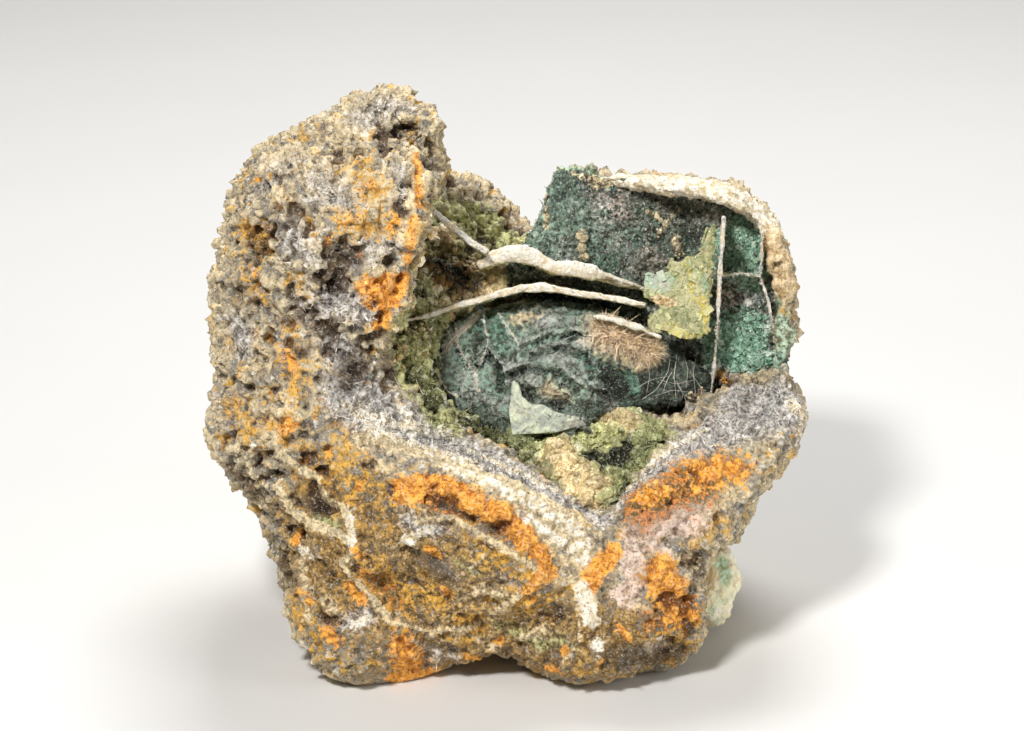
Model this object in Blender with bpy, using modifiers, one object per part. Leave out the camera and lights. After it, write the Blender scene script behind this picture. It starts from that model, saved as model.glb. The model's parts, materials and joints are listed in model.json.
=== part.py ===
"""Chlorargyrite specimen: a broken gossan nodule whose open vug holds green malachite, thin pale septa
and one yellow-green chlorargyrite blade.

Row frame: +X right, +Y away from the front, +Z up. The specimen stands on its broken feet at Z = 0.
Sizes are in millimetres and are scaled to metres as each mesh is made.

What shows from the front is drawn as an eye sees it, in front of the specimen and a little above it.
A place there is (across, up) from the eye's centre line, and its depth is its Y.
"""

import math
import random

import bmesh
import bpy
import numpy as np
from mathutils import Matrix, Vector
from mathutils.bvhtree import BVHTree

MM = 0.001

# The eye that the front is drawn from.
EYE_TILT = math.radians(20.0)
EYE_DISTANCE = 300.0
EYE_TARGET = Vector((0.46, 0.0, 19.1))
EYE_FORWARD = Vector((0.0, math.cos(EYE_TILT), -math.sin(EYE_TILT)))
EYE_UP = Vector((0.0, math.sin(EYE_TILT), math.cos(EYE_TILT)))
EYE = EYE_TARGET - EYE_FORWARD * EYE_DISTANCE

# Grain of the solids.
FORM_VOXEL = 0.7
FINE_VOXEL = 0.4
SKIN_VOXEL = 0.3
POCKET_GAP = 0.36
LEAST_GAP = 0.12
SLAB_CLEARANCE = 0.55
LEAST_THICKNESS = 0.2
RELIEF_CELL = 0.9
CRUST_CELL = 1.1
PLATE_CELL = 2.5

# The Y where cutting solids start and end, well clear of the specimen.
OUTLINE_NEAR, OUTLINE_FAR = -60.0, 60.0
CUT_NEAR, CUT_FAR = -40.0, 30.0
ROOM_NEAR = -38.0
FOOT_CUT = -0.5
GROUND_SIZE = 200.0

# Relief of the broken surfaces: grain, height and middle level of each texture.
ROCK_ROUNDS = 20
ROCK_LUMPS = [(6.0, 3.0, 0.45), (2.6, 2.0, 0.5)]
ROCK_GRAIN = (1.6, 0.8)
SLAB_GRAIN = (1.5, 0.7)
DOME_GRAINS = [(2.4, 1.0), (1.0, 0.5)]

# Triangles left on the pieces that start as dense skins.
TRIANGLES = {
    "matrix": 5600,
    "malachite_dome": 640,
    "malachite_slab": 640,
    "malachite_knob": 200,
    "vug_crust": 1300,
}
SEED = 11

# Front outline, clockwise from the tower's top: (across, up).
FRONT_OUTLINE = [
    (-10.0, 20.9), (-7.8, 20.4), (-5.5, 19.1), (-5.9, 18.2), (-5.5, 16.3), (-5.2, 14.7),
    (-2.8, 14.0), (-0.3, 11.9), (1.1, 10.0), (2.4, 10.5), (3.2, 13.7), (4.3, 15.1), (6.6, 14.4),
    (9.1, 14.6), (15.4, 14.3), (17.6, 13.5), (19.5, 11.8), (21.1, 8.5), (22.0, 6.3),
    (21.1, 4.4), (22.0, 2.8), (20.8, 0.0), (22.6, -3.5), (21.9, -6.6), (19.2, -9.1),
    (17.1, -13.4), (14.6, -14.3), (14.9, -19.5), (14.3, -22.0), (12.6, -23.6), (10.1, -24.8),
    (7.9, -24.2), (5.4, -24.5), (2.9, -25.1), (0.0, -22.9), (-2.8, -22.5), (-7.8, -24.5),
    (-11.9, -25.1), (-14.1, -23.9), (-16.5, -19.8), (-18.3, -14.1), (-19.1, -11.3), (-22.9, -6.3),
    (-23.5, -4.7), (-22.4, -3.2), (-22.3, 0.0), (-23.0, 4.4), (-21.8, 10.3), (-21.0, 14.4),
    (-19.1, 16.3), (-15.4, 18.0), (-13.8, 19.3), (-11.9, 20.4),
]

# Lumps that the matrix is made of: centre, radii, tilt about Y in degrees.
BODY_LUMPS = [
    ((-2, -3, 11), (18, 15.5, 13), 0),
    ((-9.5, -11, 4), (7.6, 7.8, 6), 0),
    ((7.5, -10.5, 4.5), (8.8, 8.4, 6.5), 0),
    ((-3, 8, 6), (13, 9, 8), 0),
    ((-3, -9, 11.5), (16, 9.3, 12), 0),
    ((9, -8.5, 11), (10.5, 9.3, 9), 0),
    ((-14.6, -4, 18), (8.7, 11.5, 11), 10),
    ((-16.4, 2, 24), (6.7, 10.5, 13), 8),
    ((-12, -2, 29), (9.6, 12, 12), 10),
    ((-9.3, -1, 36), (6, 7, 6), 0),
    ((-14.5, 8, 26), (7.8, 8, 11), 12),
    ((-2, 13, 20), (13, 6, 13), 10),
    ((14.6, -5, 15), (8.5, 9, 8), 0),
    ((15.6, 3, 24), (7.0, 8, 11), 0),
    ((10.5, 8, 25), (11.5, 6, 11), 0),
    ((4, 3, 16), (17, 13, 13), 0),
]

# The bowl of the vug: its outline (across, up), and its floor (across, up, Y).
BOWL_OUTLINE = [
    (-9.8, 1.6), (-12.8, -2.7), (-9.8, -6.5), (-5.5, -8.0), (-0.9, -9.3), (3.7, -11.1), (7.0, -12.5),
    (9.5, -9.7), (13.3, -7.0), (19.1, -5.7), (22.4, -3.4), (20.5, -0.3), (20.5, 5.0), (19.7, 10.0),
    (17.9, 11.8), (14.5, 12.9), (9.8, 13.5), (6.8, 14.0), (4.2, 16.5), (2.0, 16.5), (1.0, 9.3),
    (-1.7, 8.0), (-5.5, 5.0), (-8.6, 3.5),
]
BOWL_FLOOR = [
    (-12.8, -2.7, -13.5), (-9.8, -6.5, -15.5), (-5.5, -8.0, -16.2), (-0.9, -9.3, -16.8),
    (3.7, -11.1, -17.2), (7.0, -12.5, -17.2), (9.5, -9.7, -15.5), (13.3, -7.0, -13.5),
    (19.1, -5.7, -11.0), (22.4, -3.4, -7.5),
    (-9.0, 1.6, -9.0), (-7.5, -1.5, -9.0), (-4.8, -4.2, -9.0), (-1.7, -5.5, -9.5), (2.2, -7.4, -10.5),
    (4.8, -9.7, -12.5), (6.9, -11.3, -14.0), (8.9, -9.0, -12.0), (11.8, -5.7, -9.0), (15.6, -3.0, -7.0),
    (19.5, -1.7, -5.0),
    (-6.3, 1.6, -3.0), (-5.5, -1.5, -4.0), (-2.5, -4.6, -5.5), (0.6, -5.7, -6.5), (6.0, -5.7, -6.0),
    (9.8, -3.8, -5.0), (13.7, -2.7, -4.5), (3.7, -0.4, 0.0), (0.6, 2.7, 1.0), (8.3, 0.4, 0.0),
    (4.2, 13.9, 5.6), (2.2, 10.0, 5.0), (9.8, 13.1, 5.6), (14.5, 12.3, 5.2), (17.9, 10.8, 3.6),
    (20.2, 5.0, 0.6), (19.5, -0.4, -1.6), (14.5, 5.0, 2.0), (6.8, 6.6, 2.6), (10.6, 2.0, 0.6),
]

# The hollow on the left, between the tower, the slab and the back wall.
HOLLOW_OUTLINE = [
    (-4.6, 17.5), (-5.5, 15.8), (-5.5, 14.3), (-6.7, 12.3), (-7.5, 9.7), (-7.8, 5.8), (-9.4, 2.7),
    (-8.6, 1.2), (-5.5, 1.2), (-3.0, 3.3), (0.6, 5.3), (1.6, 9.3), (1.9, 10.6), (2.8, 13.0), (1.0, 17.0),
]
HOLLOW_FLOOR = [
    (-4.0, 13.5, 11.0), (-0.9, 11.2, 10.5), (1.4, 9.3, 8.5), (-6.0, 9.0, 5.0), (-4.0, 6.5, 2.5),
    (-0.9, 5.0, 1.5), (-6.3, 4.2, -2.0), (-8.6, 2.3, -6.0), (-5.5, 2.7, -3.0), (0.2, 7.3, 4.0),
]

# The arch between the feet, and the lower sides: centre, radii, tilt.
UNDERSIDE_LUMPS = [
    ((-1.6, -13, -2.6), (3.6, 10, 4.0), 0),
    ((0, -1, -3.0), (12, 8, 4.0), 0),
    ((15, 2, 0), (6, 6, 4.0), 0),
    ((-17, 0, 0), (5, 8, 4.0), 0),
]

# Pits in the outside, as seen from the front: (across, up), radius.
PITS = [
    ((-19.0, 9.7), 1.3), ((-13.2, 5.8), 1.1), ((-8.6, 18.5), 1.2), ((-19.8, 1.2), 1.0),
    ((-14.0, -2.7), 1.1), ((-22.1, 5.0), 0.9), ((-16.3, 2.7), 0.8), ((-12.9, 12.5), 0.9),
    ((-16.5, 14.0), 0.9), ((-17.5, -5.5), 1.0), ((10.6, -21.1), 1.0), ((3.7, -21.1), 1.1),
    ((-2.5, -19.6), 1.3), ((-14.0, -19.6), 0.8), ((-9.5, -16.5), 1.1), ((-3.5, -14.5), 0.9),
    ((14.2, -11.5), 0.9), ((8.0, -17.0), 0.9), ((-11.0, -11.0), 0.8), ((18.5, -6.5), 0.7),
]

# Malachite slab: outline and front face.
SLAB_THICKNESS = 2.4
SLAB_OUTLINE = [
    (4.2, 15.0), (6.8, 14.2), (9.8, 13.8), (13.7, 13.3), (16.0, 12.5), (17.9, 11.5), (19.4, 9.8),
    (20.0, 7.3), (20.1, 3.5), (19.8, 0.0), (18.7, -1.4), (15.6, -2.0), (10.6, -1.1), (3.7, 2.7),
    (-0.9, 5.8), (0.2, 8.5), (1.0, 9.3), (2.2, 10.8), (2.8, 12.7), (3.4, 14.3),
]
SLAB_FACE = [
    (4.2, 15.0, 4.6), (1.0, 9.3, 4.0), (9.8, 13.8, 4.8), (17.9, 11.7, 3.0), (20.2, 5.0, -0.2),
    (18.7, -1.5, -2.2), (10.6, 2.0, 0.0), (3.7, 2.7, 0.8), (6.8, 6.6, 2.0),
]

# Malachite dome: outline and bulging front face.
DOME_BACK = 1.2
DOME_OUTLINE = [
    (-5.5, -1.5), (-5.3, 0.4), (-4.4, 2.3), (-2.8, 3.7), (-0.9, 4.6), (1.8, 5.1), (4.5, 4.8),
    (6.8, 4.4), (9.8, 3.1), (12.2, 1.2), (14.5, -0.5), (15.8, -2.0), (13.7, -2.7), (9.8, -3.3),
    (6.8, -3.7), (4.5, -5.0), (1.4, -5.4), (-1.7, -4.8), (-4.0, -3.6),
]
DOME_FACE = [
    (3.7, 0.5, -5.6), (0.0, 0.0, -5.4), (7.5, 0.5, -5.0), (3.7, -2.5, -6.8), (1.8, 4.8, -2.8),
    (-2.8, 3.2, -2.8), (6.8, 4.2, -2.6), (-5.2, 0.0, -2.8), (-4.5, -2.5, -4.8), (1.4, -5.0, -7.0),
    (6.8, -3.6, -6.2), (12.0, 0.0, -3.2), (15.0, -2.0, -2.8), (10.0, 1.5, -3.6),
]

# Chlorargyrite blade: jagged outline and its plane.
BLADE_THICKNESS = 0.6
BLADE_OUTLINE = [
    (15.7, 11.0), (15.1, 10.6), (14.8, 9.7), (14.5, 8.7), (13.9, 8.3), (13.5, 8.5), (13.1, 8.0),
    (12.3, 8.0), (12.0, 7.2), (10.2, 7.0), (10.2, 5.3), (11.0, 5.0), (11.4, 4.4), (10.5, 3.7),
    (10.6, 2.7), (12.0, 2.6), (12.9, 2.2), (13.7, 2.0), (14.6, 2.4), (15.1, 2.3), (15.2, 4.3),
    (15.35, 6.6), (15.5, 8.9),
]
BLADE_FACE = [(10.2, 5.0, -4.0), (15.6, 10.5, -2.2), (15.4, 2.4, -4.4), (12.0, 8.0, -2.9)]

# Pale flake at the foot of the dome.
FLAKE_THICKNESS = 0.5
FLAKE_OUTLINE = [
    (0.1, -1.1), (0.5, -1.5), (0.8, -2.4), (1.4, -3.0), (2.5, -3.0), (3.3, -3.6), (5.2, -4.0),
    (5.8, -4.6), (3.7, -5.1), (1.4, -5.3), (0.0, -5.4), (-0.3, -3.4),
]
FLAKE_FACE = [(0.1, -1.1, -7.2), (0.0, -5.4, -8.4), (5.8, -4.6, -7.6)]

# Septa, seen edge on: path as (across, up, width).
UPPER_SEPTUM = [
    (-2.6, 7.7, 0.5), (-1.2, 8.3, 0.8), (0.2, 8.6, 0.9), (1.8, 8.2, 0.9), (3.1, 7.5, 0.85),
    (4.8, 7.3, 0.75), (6.8, 6.9, 0.6), (8.5, 6.3, 0.5), (10.5, 5.8, 0.35),
]
LOWER_SEPTUM = [
    (-8.2, 3.4, 0.4), (-6.7, 3.8, 0.4), (-4.8, 4.4, 0.45), (-2.8, 4.9, 0.5), (-1.2, 5.4, 0.55),
    (0.6, 5.9, 0.6), (2.5, 6.0, 0.6), (4.5, 5.6, 0.55), (6.8, 5.3, 0.5), (8.7, 5.0, 0.4),
    (10.3, 4.6, 0.35),
]
SHORT_SEPTUM = [(6.2, 3.8, 0.3), (7.9, 3.5, 0.35), (9.8, 2.9, 0.4), (11.5, 2.1, 0.35)]
HOLLOW_SEPTUM = [
    (-7.6, 13.0, 0.5), (-6.8, 12.4, 0.55), (-5.5, 11.4, 0.5), (-4.2, 10.3, 0.5), (-2.8, 9.2, 0.55),
    (-1.9, 8.6, 0.5),
]
CELL_UPRIGHT = [
    (16.3, 11.5, 0.3), (16.2, 9.7, 0.35), (16.0, 7.3, 0.35), (15.9, 5.0, 0.4), (15.8, 2.7, 0.35),
    (15.6, 0.4, 0.35), (15.3, -2.4, 0.35),
]
CELL_CROSS = [(15.9, 6.9, 0.3), (17.5, 7.1, 0.3), (19.2, 6.8, 0.3)]
CELL_OUTER = [(19.3, 10.4, 0.3), (19.2, 8.5, 0.3), (19.1, 6.8, 0.3), (19.7, 5.0, 0.3), (20.2, 2.6, 0.3)]

# The Y of the septa's front edges, and of the back edges that end in the hollow.
UPPER_EDGE = -1.0
LOWER_EDGE = -4.6
SHORT_EDGE, SHORT_BACK = -5.4, -0.5
HOLLOW_EDGE, HOLLOW_BACK = -2.5, 4.5
CELL_EDGE = -4.2
CELL_SIDE_EDGE = -2.4

# The lower septum's back edge runs behind the dome: from this Y, deeper by the slope past the left end.
RAMP_FROM, RAMP_SLOPE, RAMP_LEFT, RAMP_LIMIT = -3.4, 1.1, -5.0, 2.0

# Crust of crystals that lines the vug's floor and its left hollow.
CRUST_OUTLINE = [
    (7.0, -11.0), (4.8, -9.6), (2.2, -7.3), (-1.7, -5.5), (-4.8, -4.3), (-7.1, -2.0), (-8.4, 1.2),
    (-8.6, 2.7), (-7.6, 5.8), (-7.0, 7.7), (-5.5, 8.0), (-3.2, 7.2), (-0.9, 6.6), (0.2, 5.8),
    (-0.9, 4.9), (-3.2, 4.0), (-5.2, 2.7), (-5.8, 0.4), (-5.8, -1.5), (-4.8, -3.3), (-2.5, -4.8),
    (0.6, -5.7), (4.1, -5.3), (6.8, -4.2), (9.8, -3.6), (11.8, -4.6), (11.4, -5.7), (9.8, -7.9),
    (8.3, -9.7),
]
CRUST_HEIGHT = 0.4
CRUST_ROOT = 0.7
CRYSTAL_COUNT = 64
CRYSTALS_ACROSS = (-9, 12)
CRYSTALS_UP = (-11, 8)
CRYSTAL_SIZE = (0.7, 1.4)

# Knob low on the right: (across, up, Y), radius.
KNOB_LUMPS = [
    ((14.6, -17.4, -6.0), 2.3), ((15.7, -16.4, -6.2), 1.9), ((15.9, -15.0, -6.0), 1.2),
    ((15.4, -18.6, -6.4), 1.4), ((14.6, -15.6, -5.6), 1.5),
]


# Finish of each piece: colour, roughness, coat.
FINISHES = {
    "matrix": ((0.36, 0.27, 0.16), 0.92),
    "malachite_slab": ((0.10, 0.16, 0.11), 0.8),
    "malachite_dome": ((0.05, 0.10, 0.075), 0.75),
    "chlorargyrite_blade": ((0.50, 0.49, 0.13), 0.4, 0.3),
    "upper_septum": ((0.74, 0.70, 0.52), 0.7),
    "lower_septum": ((0.74, 0.71, 0.56), 0.7),
    "short_septum": ((0.70, 0.66, 0.44), 0.7),
    "hollow_septum": ((0.46, 0.45, 0.38), 0.8),
    "cell_septa": ((0.52, 0.50, 0.46), 0.75),
    "pale_flake": ((0.42, 0.45, 0.38), 0.6),
    "vug_crust": ((0.42, 0.34, 0.16), 0.6),
    "malachite_knob": ((0.42, 0.56, 0.33), 0.6),
}


def clear_scene():
    for obj in list(bpy.data.objects):
        bpy.data.objects.remove(obj, do_unlink=True)
    for collection in list(bpy.data.collections):
        bpy.data.collections.remove(collection)


def new_collection(name, hidden=False):
    collection = bpy.data.collections.new(name)
    bpy.context.scene.collection.children.link(collection)
    collection.hide_render = hidden
    return collection


def add_mesh(bm, name, collection):
    mesh = bpy.data.meshes.new(name)
    bm.to_mesh(mesh)
    bm.free()
    obj = bpy.data.objects.new(name, mesh)
    collection.objects.link(obj)
    if collection.hide_render:
        obj.display_type = "WIRE"
    return obj


def settle(obj):
    """Replace the object's mesh by its evaluated mesh, and drop its modifiers."""
    bpy.context.view_layer.update()
    graph = bpy.context.evaluated_depsgraph_get()
    mesh = bpy.data.meshes.new_from_object(obj.evaluated_get(graph))
    obj.modifiers.clear()
    old = obj.data
    obj.data = mesh
    bpy.data.meshes.remove(old)
    return obj


def remesh(obj, voxel=FORM_VOXEL):
    modifier = obj.modifiers.new("Remesh", "REMESH")
    modifier.mode = "VOXEL"
    modifier.voxel_size = voxel * MM
    return settle(obj)


def boolean(obj, other, operation, solver="EXACT"):
    modifier = obj.modifiers.new(operation.title(), "BOOLEAN")
    modifier.operation = operation
    modifier.solver = solver
    modifier.object = other
    return settle(obj)


def smooth(obj, rounds, factor=0.5):
    modifier = obj.modifiers.new("Smooth", "SMOOTH")
    modifier.iterations = rounds
    modifier.factor = factor
    return settle(obj)


def roughen(obj, kind, grain, height, middle=0.5):
    """Displace the object's surface by a procedural texture of this grain."""
    texture = bpy.data.textures.new(f"{obj.name} {kind.lower()} {grain}", kind)
    texture.noise_scale = grain * MM
    modifier = obj.modifiers.new("Roughen", "DISPLACE")
    modifier.texture = texture
    modifier.texture_coords = "LOCAL"
    modifier.strength = height * MM
    modifier.mid_level = middle
    return settle(obj)


def thin_out(obj, triangles):
    """Collapse edges until this many triangles are left."""
    obj.data.calc_loop_triangles()
    modifier = obj.modifiers.new("Decimate", "DECIMATE")
    modifier.ratio = min(1.0, triangles / len(obj.data.loop_triangles))
    modifier.use_collapse_triangulate = True
    return settle(obj)


def keep_largest(obj):
    """Drop every loose island but the largest."""
    bm = bmesh.new()
    bm.from_mesh(obj.data)
    unseen = set(bm.verts)
    islands = []
    while unseen:
        island = set()
        queue = [unseen.pop()]
        while queue:
            vert = queue.pop()
            island.add(vert)
            for edge in vert.link_edges:
                other = edge.other_vert(vert)
                if other in unseen:
                    unseen.discard(other)
                    queue.append(other)
        islands.append(island)
    islands.sort(key=len)
    for island in islands[:-1]:
        bmesh.ops.delete(bm, geom=list(island), context="VERTS")
    bm.to_mesh(obj.data)
    bm.free()
    return obj


def lump_mesh(name, lumps, collection, voxel=FORM_VOXEL):
    """Overlapping ellipsoids, made one skin by a voxel remesh."""
    bm = bmesh.new()
    for centre, radii, tilt in lumps:
        place = (
            Matrix.Translation(Vector(centre) * MM)
            @ Matrix.Rotation(math.radians(tilt), 4, "Y")
            @ Matrix.Diagonal((*(r * MM for r in radii), 1.0))
        )
        bmesh.ops.create_icosphere(bm, subdivisions=3, radius=1.0, matrix=place)
    return remesh(add_mesh(bm, name, collection), voxel)


def seen_at(across, up, y):
    """The point at this Y that the eye sees at (across, up)."""
    through = EYE_TARGET + Vector((across, 0, 0)) + EYE_UP * up
    ray = through - EYE
    return EYE + ray * ((y - EYE.y) / ray.y)


def prism(name, outline, near, far, collection):
    """A solid whose sides follow the eye's rays. near and far give Y at (across, up)."""
    bm = bmesh.new()
    front = [bm.verts.new(seen_at(x, u, near(x, u)) * MM) for x, u in outline]
    back = [bm.verts.new(seen_at(x, u, far(x, u)) * MM) for x, u in outline]
    bm.faces.new(front)
    bm.faces.new(list(reversed(back)))
    for i in range(len(outline)):
        j = (i + 1) % len(outline)
        bm.faces.new((front[j], front[i], back[i], back[j]))
    bmesh.ops.triangulate(bm, faces=bm.faces[:])
    bmesh.ops.recalc_face_normals(bm, faces=bm.faces[:])
    return add_mesh(bm, name, collection)


class Floor:
    """A thin-plate surface through a few places, as Y at (across, up)."""

    def __init__(self, places):
        data = np.array(places, float)
        self.at = data[:, :2]
        count = len(data)
        kernel = self.kernel(self.at)
        plane = np.hstack([np.ones((count, 1)), self.at])
        top = np.hstack([kernel, plane])
        bottom = np.hstack([plane.T, np.zeros((3, 3))])
        self.weights = np.linalg.solve(
            np.vstack([top, bottom]), np.concatenate([data[:, 2], np.zeros(3)])
        )

    def kernel(self, places):
        squared = ((places[:, None, :] - self.at[None, :, :]) ** 2).sum(2)
        return 0.5 * squared * np.log(np.maximum(squared, 1e-9))

    def __call__(self, across, up):
        place = np.array([[across, up]])
        row = np.hstack([self.kernel(place)[0], 1.0, across, up])
        return float(row @ self.weights)


def relief(name, outline, near, far, collection, cell=RELIEF_CELL):
    """A solid over an outline, between two surfaces that give Y at (across, up)."""
    solid = prism(name, outline, lambda x, u: CUT_NEAR, lambda x, u: CUT_FAR, collection)
    left = min(p[0] for p in outline) - cell
    low = min(p[1] for p in outline) - cell
    columns = math.ceil((max(p[0] for p in outline) + cell - left) / cell)
    rows = math.ceil((max(p[1] for p in outline) + cell - low) / cell)
    bm = bmesh.new()
    front = {}
    back = {}
    for i in range(columns + 1):
        for j in range(rows + 1):
            x = left + i * cell
            u = low + j * cell
            near_y = near(x, u)
            front[i, j] = bm.verts.new(seen_at(x, u, near_y) * MM)
            far_y = max(near_y + LEAST_THICKNESS, far(x, u))
            back[i, j] = bm.verts.new(seen_at(x, u, far_y) * MM)
    for i in range(columns):
        for j in range(rows):
            ring = ((i, j), (i + 1, j), (i + 1, j + 1), (i, j + 1))
            bm.faces.new([front[k] for k in ring])
            bm.faces.new([back[k] for k in reversed(ring)])
    border = [(i, 0) for i in range(columns)] + [(columns, j) for j in range(rows)]
    border += [(i, rows) for i in range(columns, 0, -1)] + [(0, j) for j in range(rows, 0, -1)]
    for k, here in enumerate(border):
        before = border[k - 1]
        bm.faces.new((front[before], front[here], back[here], back[before]))
    bmesh.ops.triangulate(bm, faces=bm.faces[:])
    bmesh.ops.recalc_face_normals(bm, faces=bm.faces[:])
    layer = add_mesh(bm, f"{name} layer", collection)
    boolean(solid, layer, "INTERSECT")
    bpy.data.objects.remove(layer, do_unlink=True)
    return solid


def room(name, outline, floor, collection):
    """A hollow open to the eye, closed at the back by a floor."""
    return remesh(relief(name, outline, lambda x, u: ROOM_NEAR, floor, collection))


def sheet(name, outline, face, thickness, collection, cell=RELIEF_CELL):
    """A plate whose front is the face, this thick along Y."""
    return relief(name, outline, face, lambda x, u: face(x, u) + thickness, collection, cell)


def septum(name, path, near, far, collection):
    """A thin wall, seen edge on along its path. near and far give the Y of its two edges."""
    bm = bmesh.new()
    rings = []
    for i, (x, u, width) in enumerate(path):
        ahead = path[min(i + 1, len(path) - 1)]
        behind = path[max(i - 1, 0)]
        along = Vector((ahead[0] - behind[0], ahead[1] - behind[1])).normalized()
        side = Vector((-along.y, along.x)) * width / 2
        corners = [
            (x + side.x, u + side.y, near), (x - side.x, u - side.y, near),
            (x - side.x, u - side.y, far(x, u)), (x + side.x, u + side.y, far(x, u)),
        ]
        rings.append([bm.verts.new(seen_at(*corner) * MM) for corner in corners])
    for ring, following in zip(rings, rings[1:]):
        for k in range(4):
            bm.faces.new((ring[k], ring[k - 1], following[k - 1], following[k]))
    bm.faces.new(rings[0])
    bm.faces.new(rings[-1][::-1])
    bmesh.ops.triangulate(bm, faces=bm.faces[:])
    bmesh.ops.recalc_face_normals(bm, faces=bm.faces[:])
    return add_mesh(bm, name, collection)


def surface_under(rock):
    """A function that gives the Y where the eye's ray at (across, up) meets the rock."""
    bm = bmesh.new()
    bm.from_mesh(rock.data)
    tree = BVHTree.FromBMesh(bm)
    bm.free()

    def depth(x, u):
        target = seen_at(x, u, 0.0) * MM
        eye = EYE * MM
        hit = tree.ray_cast(eye, (target - eye).normalized())[0]
        return hit.y / MM if hit else 0.0

    return depth


def matrix(parts, helpers):
    rock = lump_mesh("matrix", BODY_LUMPS, parts)
    smooth(rock, ROCK_ROUNDS)
    for grain in ROCK_LUMPS:
        roughen(rock, "CLOUDS", *grain)
    remesh(rock)
    cone = prism("outline", FRONT_OUTLINE, lambda x, u: OUTLINE_NEAR, lambda x, u: OUTLINE_FAR, helpers)
    boolean(rock, cone, "INTERSECT")
    boolean(rock, room("bowl", BOWL_OUTLINE, Floor(BOWL_FLOOR), helpers), "DIFFERENCE")
    boolean(rock, room("hollow", HOLLOW_OUTLINE, Floor(HOLLOW_FLOOR), helpers), "DIFFERENCE")
    boolean(rock, lump_mesh("arch", UNDERSIDE_LUMPS, helpers), "DIFFERENCE")
    depth = surface_under(rock)
    pits = [(seen_at(x, u, depth(x, u)), (r, r, r), 0) for (x, u), r in PITS]
    boolean(rock, lump_mesh("pits", pits, helpers, FINE_VOXEL), "DIFFERENCE")
    remesh(rock)
    smooth(rock, 1)
    roughen(rock, "CLOUDS", *ROCK_GRAIN)
    return keep_largest(rock)


def malachite_slab(parts, slab_face):
    slab = sheet("malachite_slab", SLAB_OUTLINE, slab_face, SLAB_THICKNESS, parts)
    remesh(slab, FINE_VOXEL)
    roughen(slab, "CLOUDS", *SLAB_GRAIN)
    return slab


def malachite_dome(parts):
    dome = relief("malachite_dome", DOME_OUTLINE, Floor(DOME_FACE), lambda x, u: DOME_BACK, parts)
    remesh(dome, FINE_VOXEL)
    for grain in DOME_GRAINS:
        roughen(dome, "CLOUDS", *grain)
    return dome


def chlorargyrite_blade(parts):
    face = Floor(BLADE_FACE)
    return sheet("chlorargyrite_blade", BLADE_OUTLINE, face, BLADE_THICKNESS, parts, PLATE_CELL)


def pale_flake(parts):
    return sheet("pale_flake", FLAKE_OUTLINE, Floor(FLAKE_FACE), FLAKE_THICKNESS, parts, PLATE_CELL)


def septa(parts, slab_face):
    def before_slab(x, u):
        return slab_face(x, u) - SLAB_CLEARANCE

    def behind_dome(x, u):
        ramp = RAMP_FROM + RAMP_SLOPE * max(0.0, x - RAMP_LEFT)
        return min(ramp, RAMP_LIMIT, before_slab(x, u))

    upper = septum("upper_septum", UPPER_SEPTUM, UPPER_EDGE, before_slab, parts)
    lower = septum("lower_septum", LOWER_SEPTUM, LOWER_EDGE, behind_dome, parts)
    short = septum("short_septum", SHORT_SEPTUM, SHORT_EDGE, lambda x, u: SHORT_BACK, parts)
    hollow = septum("hollow_septum", HOLLOW_SEPTUM, HOLLOW_EDGE, lambda x, u: HOLLOW_BACK, parts)
    cells = septum("cell_septa", CELL_UPRIGHT, CELL_EDGE, before_slab, parts)
    for name, path in (("cross", CELL_CROSS), ("outer", CELL_OUTER)):
        wall = septum(name, path, CELL_SIDE_EDGE, before_slab, parts)
        boolean(cells, wall, "UNION")
        bpy.data.objects.remove(wall, do_unlink=True)
    return upper, lower, short, hollow, cells


def inside(outline, x, u):
    """Whether (x, u) lies inside the outline."""
    within = False
    for i in range(len(outline)):
        (x1, u1), (x2, u2) = outline[i - 1], outline[i]
        if (u1 > u) != (u2 > u) and x < (x2 - x1) * (u - u1) / (u2 - u1) + x1:
            within = not within
    return within


def vug_crust(parts, helpers, rock):
    """A thin lining on the vug's floor, with flat-faced crystals grown into it."""
    depth = surface_under(rock)
    crust = relief(
        "vug_crust", CRUST_OUTLINE, lambda x, u: depth(x, u) - CRUST_HEIGHT,
        lambda x, u: depth(x, u) + CRUST_ROOT, parts, CRUST_CELL,
    )
    chance = random.Random(SEED)
    placed = 0
    while placed < CRYSTAL_COUNT:
        x = chance.uniform(*CRYSTALS_ACROSS)
        u = chance.uniform(*CRYSTALS_UP)
        if not inside(CRUST_OUTLINE, x, u):
            continue
        size = chance.uniform(*CRYSTAL_SIZE)
        centre = seen_at(x, u, depth(x, u) - CRUST_HEIGHT) * MM
        axis = Vector([chance.gauss(0, 1) for _ in range(3)])
        turn = Matrix.Rotation(chance.uniform(0, math.tau), 4, axis)
        bm = bmesh.new()
        bmesh.ops.create_cube(bm, size=size * MM, matrix=Matrix.Translation(centre) @ turn)
        crystal = add_mesh(bm, "crystal", helpers)
        boolean(crust, crystal, "UNION", "MANIFOLD")
        bpy.data.objects.remove(crystal, do_unlink=True)
        placed += 1
    return crust


def malachite_knob(parts):
    lumps = [(seen_at(*place), (r, r, r), 0) for place, r in KNOB_LUMPS]
    return lump_mesh("malachite_knob", lumps, parts, FINE_VOXEL)


def grown(obj, gap, helpers):
    """A copy grown by the gap, to cut a pocket that clears the piece."""
    copy = obj.copy()
    copy.data = obj.data.copy()
    copy.name = f"{obj.name} pocket"
    copy.display_type = "WIRE"
    helpers.objects.link(copy)
    modifier = copy.modifiers.new("Grow", "DISPLACE")
    modifier.strength = gap * MM
    modifier.mid_level = 0.0
    return settle(copy)


def extent(obj):
    corners = np.array([v.co[:] for v in obj.data.vertices])
    return corners.min(0), corners.max(0)


def touching(one, other):
    (low, high), (other_low, other_high) = extent(one), extent(other)
    return bool(np.all(low < other_high) and np.all(other_low < high))


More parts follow.
